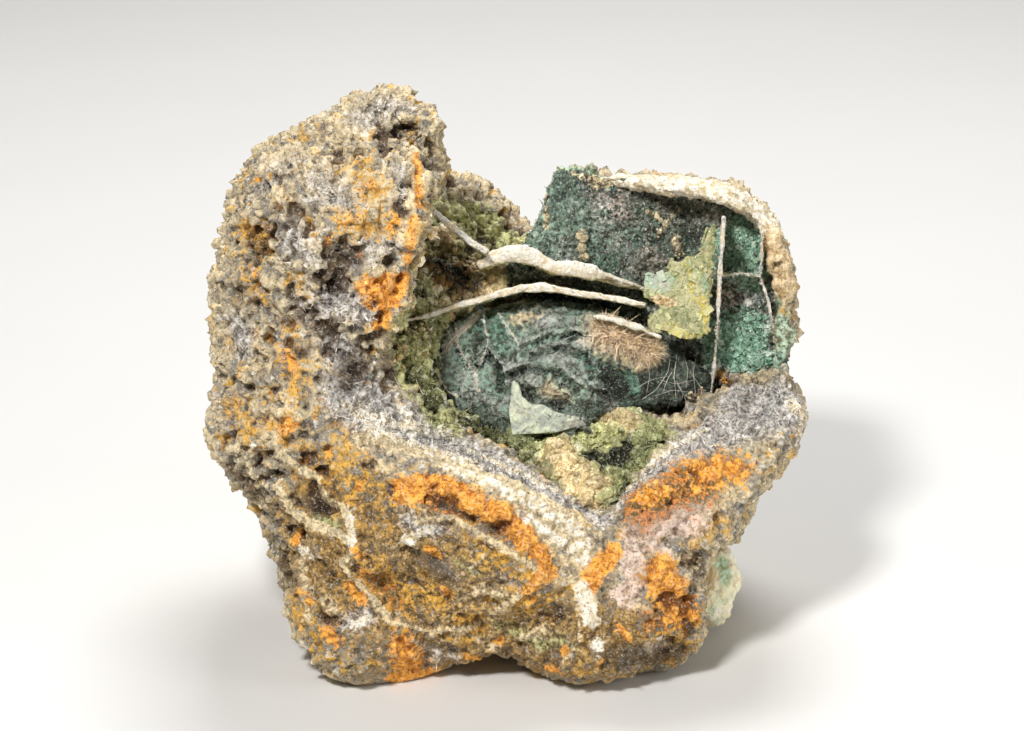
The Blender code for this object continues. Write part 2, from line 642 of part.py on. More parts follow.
def cut_pockets(piece, others, gap, helpers):
    """Cut the piece by grown copies of the others. EXACT leaves some of these cuts empty."""
    for other in others:
        pocket = grown(other, gap, helpers)
        if touching(piece, pocket):
            boolean(piece, pocket, "DIFFERENCE", "MANIFOLD")
        bpy.data.objects.remove(pocket, do_unlink=True)
    return keep_largest(piece)


def clear_of(pieces, helpers):
    """Seat each piece in pockets round the ones before it, and thin the dense skins."""
    for count, piece in enumerate(pieces):
        cut_pockets(piece, pieces[:count], POCKET_GAP, helpers)
        if piece.name in TRIANGLES:
            remesh(piece, SKIN_VOXEL)
            thin_out(keep_largest(piece), TRIANGLES[piece.name])
            cut_pockets(piece, pieces[:count], LEAST_GAP, helpers)


def stand_on_feet(rock, helpers):
    """Cut the feet flat."""
    middle = FOOT_CUT - GROUND_SIZE / 2
    bpy.ops.mesh.primitive_cube_add(size=GROUND_SIZE * MM, location=(0, 0, middle * MM))
    ground = bpy.context.object
    for collection in list(ground.users_collection):
        collection.objects.unlink(ground)
    helpers.objects.link(ground)
    ground.name = "ground"
    boolean(rock, ground, "DIFFERENCE")


def centre_on_origin(pieces):
    """Move the pieces so that the middle of their box stands on the origin."""
    low = np.min([extent(p)[0] for p in pieces], axis=0)
    high = np.max([extent(p)[1] for p in pieces], axis=0)
    shift = Vector((-(low[0] + high[0]) / 2, -(low[1] + high[1]) / 2, -low[2]))
    for piece in pieces:
        piece.data.transform(Matrix.Translation(shift))


def paint(piece, colour, roughness, coat=0.0):
    material = bpy.data.materials.new(f"{piece.name} surface")
    material.use_nodes = True
    shader = material.node_tree.nodes["Principled BSDF"]
    shader.inputs["Base Color"].default_value = (*colour, 1.0)
    shader.inputs["Roughness"].default_value = roughness
    shader.inputs["Metallic"].default_value = 0.0
    shader.inputs["Coat Weight"].default_value = coat
    material.diffuse_color = (*colour, 1.0)
    piece.data.materials.clear()
    piece.data.materials.append(material)


def main():
    clear_scene()
    parts = new_collection("chlorargyrite specimen")
    helpers = new_collection("cutters", hidden=True)
    slab_face = Floor(SLAB_FACE)
    pieces = [chlorargyrite_blade(parts), *septa(parts, slab_face), pale_flake(parts)]
    pieces += [malachite_dome(parts), malachite_slab(parts, slab_face), malachite_knob(parts)]
    rock = matrix(parts, helpers)
    pieces += [vug_crust(parts, helpers, rock), rock]
    clear_of(pieces, helpers)
    stand_on_feet(rock, helpers)
    centre_on_origin(pieces)
    for piece in pieces:
        paint(piece, *FINISHES[piece.name])


main()
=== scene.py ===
"""Looks of the chlorargyrite specimen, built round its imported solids.

A broken gossan nodule stands on its feet. Its open vug holds malachite, thin pale septa and one
yellow-green chlorargyrite blade. Sizes are in millimetres unless a comment says otherwise.

Places on the specimen are given as the camera sees them, in pixels of a frame 1024 wide and 731 high.
A ray from the camera finds where such a place lies on the surface.
"""

import json
import math

import bpy
import numpy as np
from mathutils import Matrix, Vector
from mathutils.bvhtree import BVHTree

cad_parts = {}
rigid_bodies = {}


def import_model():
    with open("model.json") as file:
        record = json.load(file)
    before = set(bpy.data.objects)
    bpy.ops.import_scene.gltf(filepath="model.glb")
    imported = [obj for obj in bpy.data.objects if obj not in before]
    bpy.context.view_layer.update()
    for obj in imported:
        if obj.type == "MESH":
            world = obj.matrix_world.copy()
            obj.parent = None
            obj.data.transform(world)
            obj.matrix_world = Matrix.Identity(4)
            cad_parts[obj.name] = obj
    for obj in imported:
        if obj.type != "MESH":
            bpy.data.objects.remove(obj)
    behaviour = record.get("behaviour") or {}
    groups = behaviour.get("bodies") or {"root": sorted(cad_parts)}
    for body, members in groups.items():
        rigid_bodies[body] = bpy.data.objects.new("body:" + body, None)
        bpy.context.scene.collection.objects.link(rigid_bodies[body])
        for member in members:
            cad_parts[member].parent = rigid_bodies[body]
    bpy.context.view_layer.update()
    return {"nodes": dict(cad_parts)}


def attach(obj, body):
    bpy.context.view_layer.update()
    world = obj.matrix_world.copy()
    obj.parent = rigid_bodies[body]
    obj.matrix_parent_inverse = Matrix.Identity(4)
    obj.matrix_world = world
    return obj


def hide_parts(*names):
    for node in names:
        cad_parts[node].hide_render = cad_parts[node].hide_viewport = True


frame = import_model()

bl_info = {
    "name": "Chlorargyrite specimen",
    "version": (1, 0, 0),
    "blender": (4, 5, 0),
    "location": "3D View > Sidebar > Specimen",
    "description": "Builds the surfaces and crystals of a chlorargyrite specimen round its solids",
    "category": "Object",
}

MM = 0.001

# The camera: a little above the specimen, straight in front of it. It sees from CLIP_START to
# CLIP_END, in metres.
FRAME_WIDTH, FRAME_HEIGHT = 1024, 731
PIXELS_PER_MM = 13.0
EYE_TILT = math.radians(20.0)
EYE_DISTANCE = 300.0
EYE_TARGET = Vector((0.424, 0.063, 19.6))
EYE_RIGHT = Vector((1.0, 0.0, 0.0))
EYE_UP = Vector((0.0, math.sin(EYE_TILT), math.cos(EYE_TILT)))
EYE_FORWARD = Vector((0.0, math.cos(EYE_TILT), -math.sin(EYE_TILT)))
EYE = EYE_TARGET - EYE_FORWARD * EYE_DISTANCE
SENSOR = 36.0
LENS = SENSOR * EYE_DISTANCE * PIXELS_PER_MM / FRAME_WIDTH
CLIP_START, CLIP_END = 0.01, 10.0

# The stage: the floor's size in metres and its two greys, and the lights' place, size and power.
FLOOR_SIZE = 4.0
FLOOR_GRAIN = 40.0
FLOOR_GREYS = (226, 224, 220), (232, 230, 226)
FLOOR_ROUGHNESS = 0.7
LIGHTS = [
    ("key light", (-75, -200, 240), 42, 0.85),
    ("fill light", (230, -110, 110), 130, 0.18),
    ("top light", (20, 140, 260), 120, 0.6),
]
WORLD_COLOUR = (0.62, 0.64, 0.68, 1.0)
WORLD_STRENGTH = 0.17

QUICK_SHARE = 0.3
FEW_GRAINS = 250


def coloured(rows):
    """The colour strokes of rows that give both colour and relief."""
    return [(radius, strength, path) for radius, strength, _, _, path in rows]


def raised(rows):
    """The relief strokes of rows that give both colour and relief."""
    return [(radius, height, path) for _, _, radius, height, path in rows]


# Strokes that colour a surface and also raise or sink it: radius and strength of the colour,
# radius and height of the relief, and path.
VEINS = [
    (0.32, 1.3, 0.34, 0.5, [(276, 488), (292, 511), (307, 522), (334, 532), (351, 541)]),
    (0.3, 1.2, 0.32, 0.45, [(265, 438), (292, 463), (317, 480), (326, 500), (345, 509), (349, 522),
     (351, 540)]),
    (0.26, 1.2, 0.28, 0.45, [(351, 553), (341, 564), (353, 580), (372, 597), (391, 622)]),
    (0.35, 0.95, 0.35, 0.4, [(238, 448), (257, 484), (276, 490)]),
    (0.3, 0.9, 0.35, 0.35, [(303, 563), (305, 590), (308, 620)]),
    (0.26, 1.1, 0.28, 0.4, [(398, 494), (430, 508), (470, 528), (510, 552), (545, 575)]),
    (0.26, 1.0, 0.28, 0.4, [(545, 575), (520, 596), (492, 614), (470, 628)]),
    (0.26, 0.9, 0.28, 0.4, [(391, 622), (430, 632), (468, 628)]),
]
SLAB_SCARS = [
    (0.18, 1.1, 0.18, 0.5, [(648, 211), (665, 224)]), (0.18, 1.1, 0.18, 0.5, [(678, 209), (659, 235)]),
]
DOME_FROST = [
    (0.25, 1.1, 0.26, 0.65, [(490, 350), (505, 366), (508, 384)]),
]
# Grooves sunk into the dome, painted dark along them as shade.
DOME_SHADED_GROOVES = [
    (0.24, 1.2, 0.2, -0.5, [(523, 352), (547, 339), (577, 337), (602, 346)]),
    (0.24, 1.2, 0.2, -0.5, [(532, 358), (560, 349), (586, 358), (592, 378)]),
    (0.24, 1.1, 0.2, -0.5, [(503, 379), (530, 369), (558, 373), (576, 391)]),
    (0.22, 1.1, 0.2, -0.5, [(483, 352), (498, 370), (501, 388)]),
]
DOME_EDGES = [
    (0.45, 1.1, 0.35, 0.5, [(582, 340), (586, 342)]), (0.17, 1.0, 0.2, 0.4, [(498, 313), (521, 348)]),
    (0.2, 1.0, 0.22, 0.7, [(455, 340), (475, 375), (478, 390)]),
    (0.16, 1.0, 0.22, 0.7, [(483, 311), (488, 345), (476, 374)]),
    (0.16, 0.85, 0.2, 0.8, [(515, 411), (545, 413), (583, 419)]),
    (0.16, 0.85, 0.2, 0.9, [(514, 419), (550, 421), (586, 426)]),
]
CRUST_LUMPS = [
    (0.8, 1.1, 0.7, 1.0, [(645, 405), (655, 418)]), (0.7, 1.0, 0.6, 0.7, [(605, 420), (630, 422)]),
]
# A deep hole in the crust, painted dark in it as shade.
CRUST_SHADED_HOLE = [
    (1.0, 1.3, 1.0, -1.4, [(600, 455), (618, 452)]),
]

# The grey coating of the lip, which is smoother than the rest.
LIP_STROKES = [
    (2.2, 1.05, [(350, 395), (385, 420), (430, 435)]), (1.5, 1.05, [(430, 430), (480, 455), (530, 480)]),
    (0.8, 1.05, [(520, 472), (560, 496), (603, 520)]), (2.2, 1.0, [(700, 440), (740, 420), (785, 410)]),
    (1.5, 1.0, [(735, 402), (770, 394), (794, 404)]),
]

# Places of colour on the matrix: radius, strength and path. A stroke's edge is at its radius.
COLOUR_STROKES = {
    "orange": [
        (0.75, 1.2, [(366, 286), (395, 283), (408, 281)]), (0.7, 1.2, [(372, 298), (392, 297)]),
        (0.5, 1.1, [(378, 312), (386, 308), (380, 325)]),
        (0.36, 1.05, [(416, 155), (418, 170), (418, 190), (420, 206)]),
        (0.4, 0.95, [(414, 218), (411, 240), (408, 263)]), (0.5, 0.75, [(348, 222), (358, 216)]),
        (0.4, 0.7, [(325, 243), (331, 238)]), (0.45, 0.7, [(391, 226), (398, 214)]),
        (0.4, 0.7, [(360, 190), (372, 182)]), (0.6, 0.65, [(250, 268), (260, 284)]),
        (0.45, 0.7, [(262, 222), (270, 228)]), (0.8, 0.68, [(283, 345), (295, 372)]),
        (0.95, 1.25, [(402, 490), (436, 486), (462, 497)]),
        (0.9, 1.2, [(462, 500), (500, 515), (525, 538)]),
        (0.8, 1.05, [(520, 530), (545, 560), (550, 572)]), (0.6, 0.95, [(548, 570), (528, 592)]),
        (1.4, 0.9, [(400, 640), (412, 668)]), (0.9, 0.85, [(392, 678), (430, 672)]),
        (0.7, 0.85, [(328, 630), (336, 642)]), (0.5, 0.85, [(303, 463)]), (0.5, 0.85, [(330, 453)]),
        (0.5, 0.85, [(358, 488)]), (0.6, 0.8, [(282, 428), (292, 424)]),
        (0.45, 0.8, [(300, 532), (296, 542)]), (0.5, 0.75, [(355, 550), (362, 556)]),
        (0.8, 0.95, [(589, 585), (600, 565), (612, 552)]),
        (1.5, 1.0, [(660, 575), (672, 600), (680, 610)]),
        (1.3, 0.85, [(700, 474), (720, 468), (740, 470)]), (0.9, 0.75, [(640, 500), (665, 488)]),
        (0.5, 0.85, [(564, 651)]), (0.4, 0.85, [(535, 598)]), (0.5, 0.85, [(443, 590), (452, 596)]),
        (0.45, 0.85, [(500, 640)]), (0.5, 0.8, [(468, 655), (490, 662)]), (0.4, 0.85, [(602, 662)]),
        (0.45, 0.8, [(620, 628), (630, 640)]), (0.5, 0.85, [(350, 585), (362, 600)]),
        (0.5, 0.85, [(298, 592), (310, 602)]), (0.45, 0.8, [(545, 668), (560, 672)]),
        (0.5, 0.8, [(428, 548), (440, 556)]),
    ],
    "rust": [
        (1.7, 1.0, [(640, 508), (670, 490), (700, 480)]), (1.2, 0.9, [(655, 620), (690, 612)]),
        (0.5, 0.9, [(605, 560), (595, 580)]), (0.25, 0.9, [(419, 204)]), (0.5, 0.7, [(360, 253)]),
        (0.9, 0.5, [(360, 570), (390, 590), (400, 610)]), (0.5, 0.8, [(498, 528), (518, 545)]),
        (0.35, 0.9, [(424, 500), (440, 512), (460, 512)]),
    ],
    "ochre": [
        (1.4, 0.85, [(255, 235), (272, 250)]), (1.4, 0.65, [(345, 218), (365, 226)]),
        (1.2, 0.55, [(315, 155)]), (1.3, 0.6, [(365, 165), (370, 190)]), (1.4, 0.6, [(395, 220)]),
        (2.0, 0.55, [(290, 345), (300, 380)]), (1.5, 0.65, [(240, 270), (265, 290)]),
        (2.4, 0.6, [(330, 440), (350, 480)]), (2.0, 0.55, [(500, 560), (540, 600)]),
        (2.2, 0.6, [(430, 590), (480, 620)]), (1.6, 0.65, [(650, 630), (690, 640)]),
        (2.0, 0.6, [(300, 620), (320, 650)]), (2.0, 0.65, [(370, 570), (400, 600)]),
        (1.6, 0.6, [(225, 400), (250, 430)]), (1.2, 0.6, [(690, 540), (715, 520)]),
        (1.9, 0.85, [(640, 508), (680, 488), (725, 476)]), (1.4, 0.8, [(655, 592), (686, 612)]),
        (1.0, 0.8, [(702, 530), (718, 514)]),
    ],
    "cream": [
        (2.2, 1.6, [(600, 184), (640, 176), (700, 180), (745, 192), (768, 215)]),
        (0.7, 0.95, [(363, 438), (400, 446), (460, 463)]),
        (1.1, 1.0, [(440, 462), (490, 478), (530, 495), (570, 520)]),
        (1.7, 0.9, [(530, 510), (560, 530), (585, 550)]),
        (0.18, 0.8, [(497, 540), (480, 562), (455, 578)]),
        (0.2, 0.9, [(565, 560), (575, 585), (580, 640), (560, 665)]),
        (0.8, 0.85, [(585, 555), (590, 600)]), (1.0, 0.8, [(712, 510), (738, 492)]),
        (0.7, 0.95, [(805, 405), (800, 445)]), (0.7, 0.8, [(440, 112), (436, 130), (442, 160)]),
        (0.5, 0.9, [(410, 160), (412, 200), (405, 240)]), (0.9, 0.7, [(660, 560), (690, 560)]),
        (1.5, 0.5, [(300, 170), (330, 150)]), (1.5, 0.5, [(270, 200), (290, 180)]),
        (0.5, 0.8, [(372, 462), (400, 474)]), (0.5, 0.6, [(480, 640), (500, 655), (530, 670)]),
        (0.7, 0.7, [(455, 602), (482, 588), (500, 596)]), (0.6, 0.7, [(520, 640), (548, 630)]),
        (0.6, 0.75, [(325, 600), (338, 615)]), (0.5, 0.75, [(420, 520), (452, 516)]),
        (0.6, 0.7, [(636, 600), (650, 616)]), *coloured(VEINS),
    ],
    "grey": [
        *LIP_STROKES,
        (0.9, 0.95, [(625, 500), (650, 475), (690, 445)]), (1.5, 0.7, [(315, 180), (345, 205)]),
        (1.2, 0.7, [(402, 165), (403, 195)]), (1.6, 0.85, [(335, 300), (370, 305)]),
        (1.6, 0.8, [(338, 345), (350, 380)]), (1.2, 0.65, [(400, 330), (412, 310), (422, 290)]),
        (1.3, 0.7, [(232, 320), (245, 345)]), (1.4, 0.6, [(365, 250), (390, 245)]),
        (1.2, 0.6, [(385, 105), (405, 110)]), (2.0, 0.55, [(262, 190), (300, 160)]),
        (1.6, 0.6, [(362, 118), (392, 108)]), (1.5, 0.6, [(290, 232), (308, 262)]),
        (1.5, 0.55, [(300, 300), (318, 328)]), (1.3, 0.6, [(222, 395), (232, 420)]),
        (0.8, 0.7, [(408, 520), (420, 530), (440, 530)]), (1.0, 0.6, [(345, 625), (370, 612)]),
        (0.9, 0.62, [(430, 562), (455, 576)]), (1.0, 0.58, [(500, 572), (522, 590)]),
        (1.1, 0.6, [(420, 650), (450, 655)]), (1.3, 0.6, [(630, 660), (665, 640)]),
    ],
    # Painted shade: this zone darkens the hollows, and some other patches of the gossan.
    "dark": [
        (0.8, 0.8, [(395, 128), (412, 130)]), (0.4, 0.95, [(335, 254), (347, 255)]),
        (0.5, 0.75, [(250, 243), (262, 246)]), (0.9, 0.85, [(318, 276), (335, 284)]),
        (0.5, 0.75, [(392, 256)]), (1.0, 0.8, [(232, 470), (255, 492)]),
        (1.0, 0.8, [(285, 560), (297, 588)]), (0.5, 0.8, [(540, 612), (568, 610)]),
        (1.7, 0.7, [(620, 655), (675, 655)]), (1.3, 0.65, [(430, 560), (450, 580)]),
        (0.6, 1.0, [(698, 560), (700, 572)]), (1.2, 0.7, [(352, 360), (345, 385)]),
        (1.2, 0.65, [(240, 300), (232, 285)]), (0.8, 0.8, [(310, 500), (322, 510)]),
        (0.8, 1.0, [(446, 260), (456, 272)]),
    ],
    "white": [
        (1.8, 0.9, [(620, 180), (640, 176), (700, 180), (745, 192), (768, 215)]),
        (0.55, 1.1, [(583, 590), (592, 622)]), (0.6, 0.95, [(598, 645)]),
        (0.35, 1.1, [(350, 520), (351, 542)]), (0.4, 0.9, [(355, 625), (366, 618)]),
        # Along the lip's upper edge: partly its white coating, partly a painted highlight.
        (0.5, 0.9, [(398, 400), (412, 425)]), (0.8, 0.7, [(430, 450), (470, 462)]),
        (0.5, 0.8, [(345, 404), (372, 430), (402, 442), (440, 452)]),
        (0.4, 0.85, [(470, 450), (510, 470), (560, 492), (600, 514)]),
        (0.6, 0.8, [(440, 464), (490, 482), (530, 502), (575, 530), (590, 546)]),
        (0.5, 0.75, [(520, 512), (556, 538), (584, 560)]),
        (1.2, 0.6, [(355, 408), (400, 426), (450, 436)]),
        (0.5, 0.8, [(640, 470), (672, 448), (705, 430)]),
        (0.6, 0.85, [(790, 402), (802, 420), (798, 446)]), (0.5, 0.8, [(302, 550), (312, 556)]),
        (0.4, 0.8, [(437, 120), (439, 118)]), (0.5, 0.8, [(405, 540), (430, 530)]),
        (0.7, 0.7, [(295, 655), (305, 640)]),
    ],
    "pink": [
        (1.2, 1.15, [(640, 530), (665, 524), (692, 519)]),
        (1.0, 1.05, [(632, 555), (640, 580), (625, 592)]), (0.7, 0.8, [(655, 548), (668, 556)]),
    ],
    "brown": [
        (6.0, 1.0, [(330, 560), (420, 600), (500, 620)]), (4.0, 0.95, [(560, 640), (640, 650)]),
        (4.0, 0.85, [(330, 500), (420, 540), (480, 560)]),
    ],
    "sulphur": [
        (1.6, 1.0, [(412, 340), (440, 335), (450, 350)]),
        (1.2, 0.9, [(402, 318), (418, 300), (430, 290)]), (1.0, 0.8, [(424, 262), (432, 275)]),
        (0.9, 0.7, [(400, 370), (418, 395)]),
        (1.6, 0.75, [(450, 205), (470, 215), (500, 235), (515, 245)]),
        (0.9, 0.8, [(395, 318), (410, 335), (425, 342)]),
    ],
    "green": [
        (1.0, 1.2, [(784, 330), (790, 345), (782, 360)]), (0.5, 0.9, [(776, 300), (778, 310)]),
        (1.2, 1.1, [(546, 192), (562, 172), (588, 174)]),
    ],
    "peach": [
        (1.0, 1.3, [(772, 236), (778, 246)]), (1.1, 1.3, [(784, 262), (790, 284)]),
        (0.6, 1.0, [(796, 310), (798, 318)]),
    ],
    "olive": [
        (2.6, 1.1, [(436, 230), (440, 260), (425, 320)]),
        (2.0, 1.0, [(470, 222), (500, 240), (520, 246)]),
        (2.0, 1.0, [(405, 345), (412, 380), (440, 420)]),
        (2.4, 1.0, [(520, 440), (560, 470), (600, 500)]), (2.0, 1.0, [(620, 480), (650, 450)]),
        (3.0, 1.0, [(470, 290), (500, 270)]), (1.1, 0.62, [(490, 622), (530, 640), (565, 645)]),
        (0.9, 0.6, [(318, 515), (335, 525)]), (0.9, 0.55, [(460, 565), (480, 572)]),
    ],
}

# Ridges raised on the matrix, and hollows sunk in it: radius, height and path.
RIDGES = [
    (0.5, 0.4, [(395, 452), (440, 462), (480, 475), (530, 495), (575, 522)]),
    (0.6, 0.7, [(583, 592), (590, 622)]), (0.5, 0.3, [(416, 155), (418, 205), (410, 260)]),
    (0.8, 1.1, [(772, 236)]), (0.9, 1.2, [(782, 262)]), (0.8, 1.1, [(788, 284)]),
    (0.7, 0.8, [(786, 340)]), *raised(VEINS),
]
# The smooth crust along the top of the slab.
RIM = [
    (2.3, 2.0, [(600, 182), (640, 176), (700, 180), (745, 192), (768, 215), (780, 240), (790, 280)]),
]
HOLLOWS = [
    (1.1, 0.9, [(255, 240), (265, 246)]), (0.6, 1.0, [(335, 254), (347, 255)]),
    (0.7, 0.7, [(395, 133), (412, 136)]), (0.7, 0.8, [(322, 282), (336, 286)]), (0.4, 0.6, [(392, 256)]),
    (0.6, 0.7, [(300, 536)]), (0.6, 0.7, [(303, 463)]), (0.6, 0.7, [(322, 470)]),
    (0.9, 0.7, [(318, 498), (325, 506)]), (0.5, 0.7, [(362, 374)]), (0.6, 0.6, [(425, 500), (445, 506)]),
    (0.4, 0.7, [(462, 520), (505, 530)]), (0.6, 0.5, [(405, 555)]), (0.5, 0.5, [(375, 580), (392, 600)]),
    (0.35, 0.5, [(545, 620), (560, 618)]), (0.6, 0.9, [(698, 562)]), (0.5, 0.7, [(660, 600), (690, 603)]),
]

# Places of colour on the vug's pieces.
SLAB_STROKES = {
    "frost": [
        (2.0, 1.0, [(560, 190), (556, 215), (548, 240)]), (1.2, 0.7, [(600, 200), (590, 235)]),
        (1.0, 0.8, [(700, 205), (680, 190)]), (0.8, 0.7, [(620, 245), (632, 262)]),
    ],
    "teal": [
        (2.2, 0.85, [(560, 185), (550, 215), (535, 242)]),
        (1.6, 0.75, [(575, 215), (590, 245), (600, 262)]), (0.7, 0.8, [(628, 232), (636, 240)]),
        (0.5, 0.8, [(607, 262), (612, 268)]), (1.5, 1.3, [(735, 245), (750, 235), (752, 265)]),
        (1.6, 1.4, [(728, 345), (742, 340), (748, 362)]), (0.5, 0.9, [(570, 188), (578, 196)]),
    ],
    "dark": [
        (1.6, 0.75, [(648, 195), (690, 215), (680, 235)]), (1.2, 0.8, [(575, 176), (590, 182)]),
        (1.4, 0.8, [(560, 290), (600, 288), (640, 292)]), (0.9, 0.8, [(758, 370), (740, 378)]),
        (1.5, 0.7, [(625, 262), (650, 276)]), (1.0, 0.8, [(690, 365), (705, 385)]),
    ],
    "brown": [
        (0.8, 0.95, [(660, 198), (668, 206)]), (0.9, 1.3, [(646, 252), (656, 264)]),
        (0.6, 1.0, [(636, 268), (644, 272)]), (0.9, 0.7, [(730, 288), (744, 296)]),
        (1.8, 0.5, [(600, 195), (620, 210)]),
    ],
    "cream": [
        (0.7, 1.1, [(596, 180), (640, 178), (700, 182)]),
        (1.3, 1.1, [(705, 190), (740, 200), (768, 222)]), (0.4, 0.7, [(565, 171), (590, 178)]),
        (0.32, 1.1, [(581, 233), (584, 257)]), (0.36, 1.0, [(677, 240), (678, 253)]),
        (0.25, 0.9, [(546, 208), (547, 226)]), *coloured(SLAB_SCARS),
    ],
    "grey": [
        (0.6, 0.8, [(708, 216), (722, 222)]),
        (0.7, 0.75, [(766, 275), (777, 300), (772, 335), (759, 367)]),
        (1.2, 0.6, [(735, 285), (755, 300)]),
    ],
}
DOME_STROKES = {
    "frost": [
        (1.1, 1.0, [(455, 345), (462, 362), (470, 380)]),
        (0.9, 0.8, [(520, 340), (548, 352), (575, 348)]), (0.9, 0.8, [(515, 372), (545, 362)]),
        (0.9, 0.7, [(585, 372), (600, 392)]), (0.8, 0.7, [(480, 395), (500, 405)]),
        (0.7, 0.8, [(540, 318), (570, 316)]),
        (0.25, 1.2, [(521, 344), (545, 331), (575, 329), (600, 338)]),
        (0.25, 1.2, [(530, 350), (560, 341), (590, 350), (598, 370)]),
        (0.25, 1.1, [(505, 370), (530, 360), (560, 364), (580, 382)]), *coloured(DOME_FROST),
    ],
    "teal": [
        (1.3, 0.95, [(478, 318), (495, 322), (505, 332)]), (1.0, 0.6, [(462, 345), (458, 360)]),
        (0.35, 1.1, [(628, 372), (637, 389)]), (0.5, 0.7, [(533, 362), (560, 370)]),
        (1.2, 0.55, [(590, 350), (600, 375)]), (1.4, 0.5, [(480, 380), (500, 395)]),
        (1.6, 0.5, [(560, 300), (590, 310)]),
    ],
    # Painted shade: dark lines beside the ridges and along the grooves; the zone also darkens the right
    # end.
    "dark": [
        (2.4, 1.05, [(640, 382), (680, 372), (700, 390)]), (1.0, 0.7, [(442, 378), (450, 398)]),
        (1.3, 0.7, [(600, 412), (560, 425)]), (1.4, 0.6, [(480, 415), (500, 425)]),
        (0.22, 1.0, [(520, 318), (545, 312), (580, 314)]),
        (0.2, 1.0, [(512, 416), (545, 418), (583, 424)]), *coloured(DOME_SHADED_GROOVES),
    ],
    "grey": [
        (0.9, 0.95, [(444, 362), (450, 385)]), (1.2, 0.65, [(466, 350), (470, 370)]),
        (1.2, 0.55, [(530, 345), (560, 330), (585, 335)]), (1.4, 0.5, [(560, 385), (590, 390)]),
    ],
    "white": [
        (0.26, 1.2, [(441, 355), (458, 333), (483, 311), (521, 301)]),
        (0.2, 1.0, [(441, 358), (438, 375), (448, 392), (456, 396)]), *coloured(DOME_EDGES),
    ],
    "brown": [
        (1.5, 1.1, [(605, 330), (630, 340), (650, 350)]), (0.8, 0.7, [(550, 390), (562, 395)]),
        (1.0, 0.6, [(515, 320), (535, 315)]),
    ],
}
CRUST_STROKES = {
    "peach": [
        (1.3, 1.1, [(560, 455), (575, 475), (590, 488)]), (0.7, 1.0, [(592, 505), (600, 510)]),
        (1.5, 0.8, [(440, 285), (470, 300), (498, 295)]), (0.9, 0.8, [(475, 268), (492, 280)]),
        *coloured(CRUST_LUMPS),
    ],
    "sulphur": [
        (1.1, 1.4, [(568, 438), (590, 434), (608, 440)]), (1.0, 1.0, [(425, 262), (432, 275)]),
        (1.2, 0.9, [(408, 350), (420, 345), (428, 360)]), (0.8, 0.8, [(530, 440), (545, 455)]),
    ],
    # Painted shade in the crust's hollows and its deep hole.
    "dark": [
        (1.0, 1.2, [(445, 260), (456, 274)]), (1.0, 0.9, [(420, 390), (430, 410)]),
        (0.8, 0.9, [(470, 425), (500, 438)]), (0.7, 0.9, [(545, 462), (560, 468)]),
        (1.2, 0.9, [(405, 330), (430, 332)]), *coloured(CRUST_SHADED_HOLE),
    ],
    "green": [
        (1.4, 0.9, [(620, 465), (645, 455), (650, 440)]), (1.2, 0.8, [(605, 480), (618, 500)]),
        (1.6, 0.7, [(490, 430), (530, 445)]), (1.4, 0.7, [(405, 375), (425, 400)]),
    ],
}

# Botryoidal druse in the upper left hollow: bright lumps, and dull ones round them.
HOLLOW_DRUSE = [
    (1.2, 1.3, [(432, 286), (450, 298), (475, 304), (497, 298)]),
    (1.1, 1.3, [(470, 270), (486, 278), (497, 288)]), (0.7, 1.1, [(418, 262), (428, 274), (440, 282)]),
    (0.7, 1.0, [(430, 232), (445, 238)]), (0.6, 0.9, [(500, 268), (508, 275)]),
]
SHADE_DRUSE = [
    (1.5, 1.0, [(415, 300), (430, 318), (410, 335)]), (1.5, 1.0, [(445, 255), (460, 262)]),
    (1.2, 0.9, [(405, 350), (425, 355), (415, 375)]),
]

BLADE_STROKES = {
    "edge": [
        (0.3, 1.1, [(716, 232), (722, 250), (720, 264)]),
        (0.22, 1.0, [(684, 262), (694, 246), (706, 232)]), (0.35, 0.8, [(702, 300), (706, 326)]),
        (0.5, 0.75, [(668, 326), (692, 336)]), (0.25, 0.7, [(690, 270), (694, 300)]),
    ],
    "mint": [
        (0.8, 0.85, [(650, 280), (662, 282)]), (0.4, 0.6, [(702, 278), (704, 288)]),
    ],
    "peach": [
        (0.35, 1.1, [(655, 300), (672, 303)]), (0.3, 1.0, [(711, 331)]),
    ],
}
KNOB_STROKES = {
    "mint": [
        (0.5, 1.0, [(722, 562), (727, 580)]), (0.5, 0.6, [(712, 610), (722, 600)]),
    ],
}

# Relief of the vug's pieces: radius, height and path.
RIB_RELIEF = [
    (0.7, 0.35, [(503, 250), (530, 252)]), (0.6, 0.35, [(566, 266), (590, 272)]),
    (0.5, -0.3, [(548, 258)]), (0.7, -0.3, [(610, 280), (630, 285)]),
]
SLAB_RELIEF = [
    (0.4, 1.0, [(582, 232), (584, 256)]), (0.6, 1.2, [(648, 254)]), (0.6, 1.2, [(657, 264)]),
    (0.5, 0.9, [(640, 270)]), (0.4, 1.2, [(677, 240), (678, 252)]),
    (0.8, 0.5, [(700, 190), (740, 200), (766, 220)]), *raised(SLAB_SCARS),
]
DOME_RELIEF = [
    (1.3, 1.0, [(605, 332), (630, 340), (648, 348)]), (0.2, 0.9, [(514, 426), (560, 430), (590, 433)]),
    (0.2, -0.5, [(560, 385), (585, 392), (606, 396)]), (0.8, 0.6, [(456, 346), (462, 362), (468, 376)]),
    (0.6, 0.6, [(444, 364), (449, 384)]), (0.6, 0.5, [(548, 362), (566, 366)]),
    (0.6, 0.5, [(520, 386), (536, 380)]), (0.26, 0.7, [(521, 346), (545, 333), (575, 331), (600, 340)]),
    (0.26, 0.7, [(530, 352), (560, 343), (590, 352), (598, 372)]),
    (0.26, 0.65, [(505, 372), (530, 362), (560, 366), (580, 384)]),
    (0.24, 0.8, [(441, 356), (458, 333), (483, 311)]), (0.9, -0.7, [(466, 350), (468, 362)]),
    (0.5, -0.5, [(600, 352), (606, 372), (622, 392)]), (0.5, -0.5, [(520, 392), (540, 404), (560, 404)]),
    *raised(DOME_FROST), *raised(DOME_SHADED_GROOVES), *raised(DOME_EDGES),
]
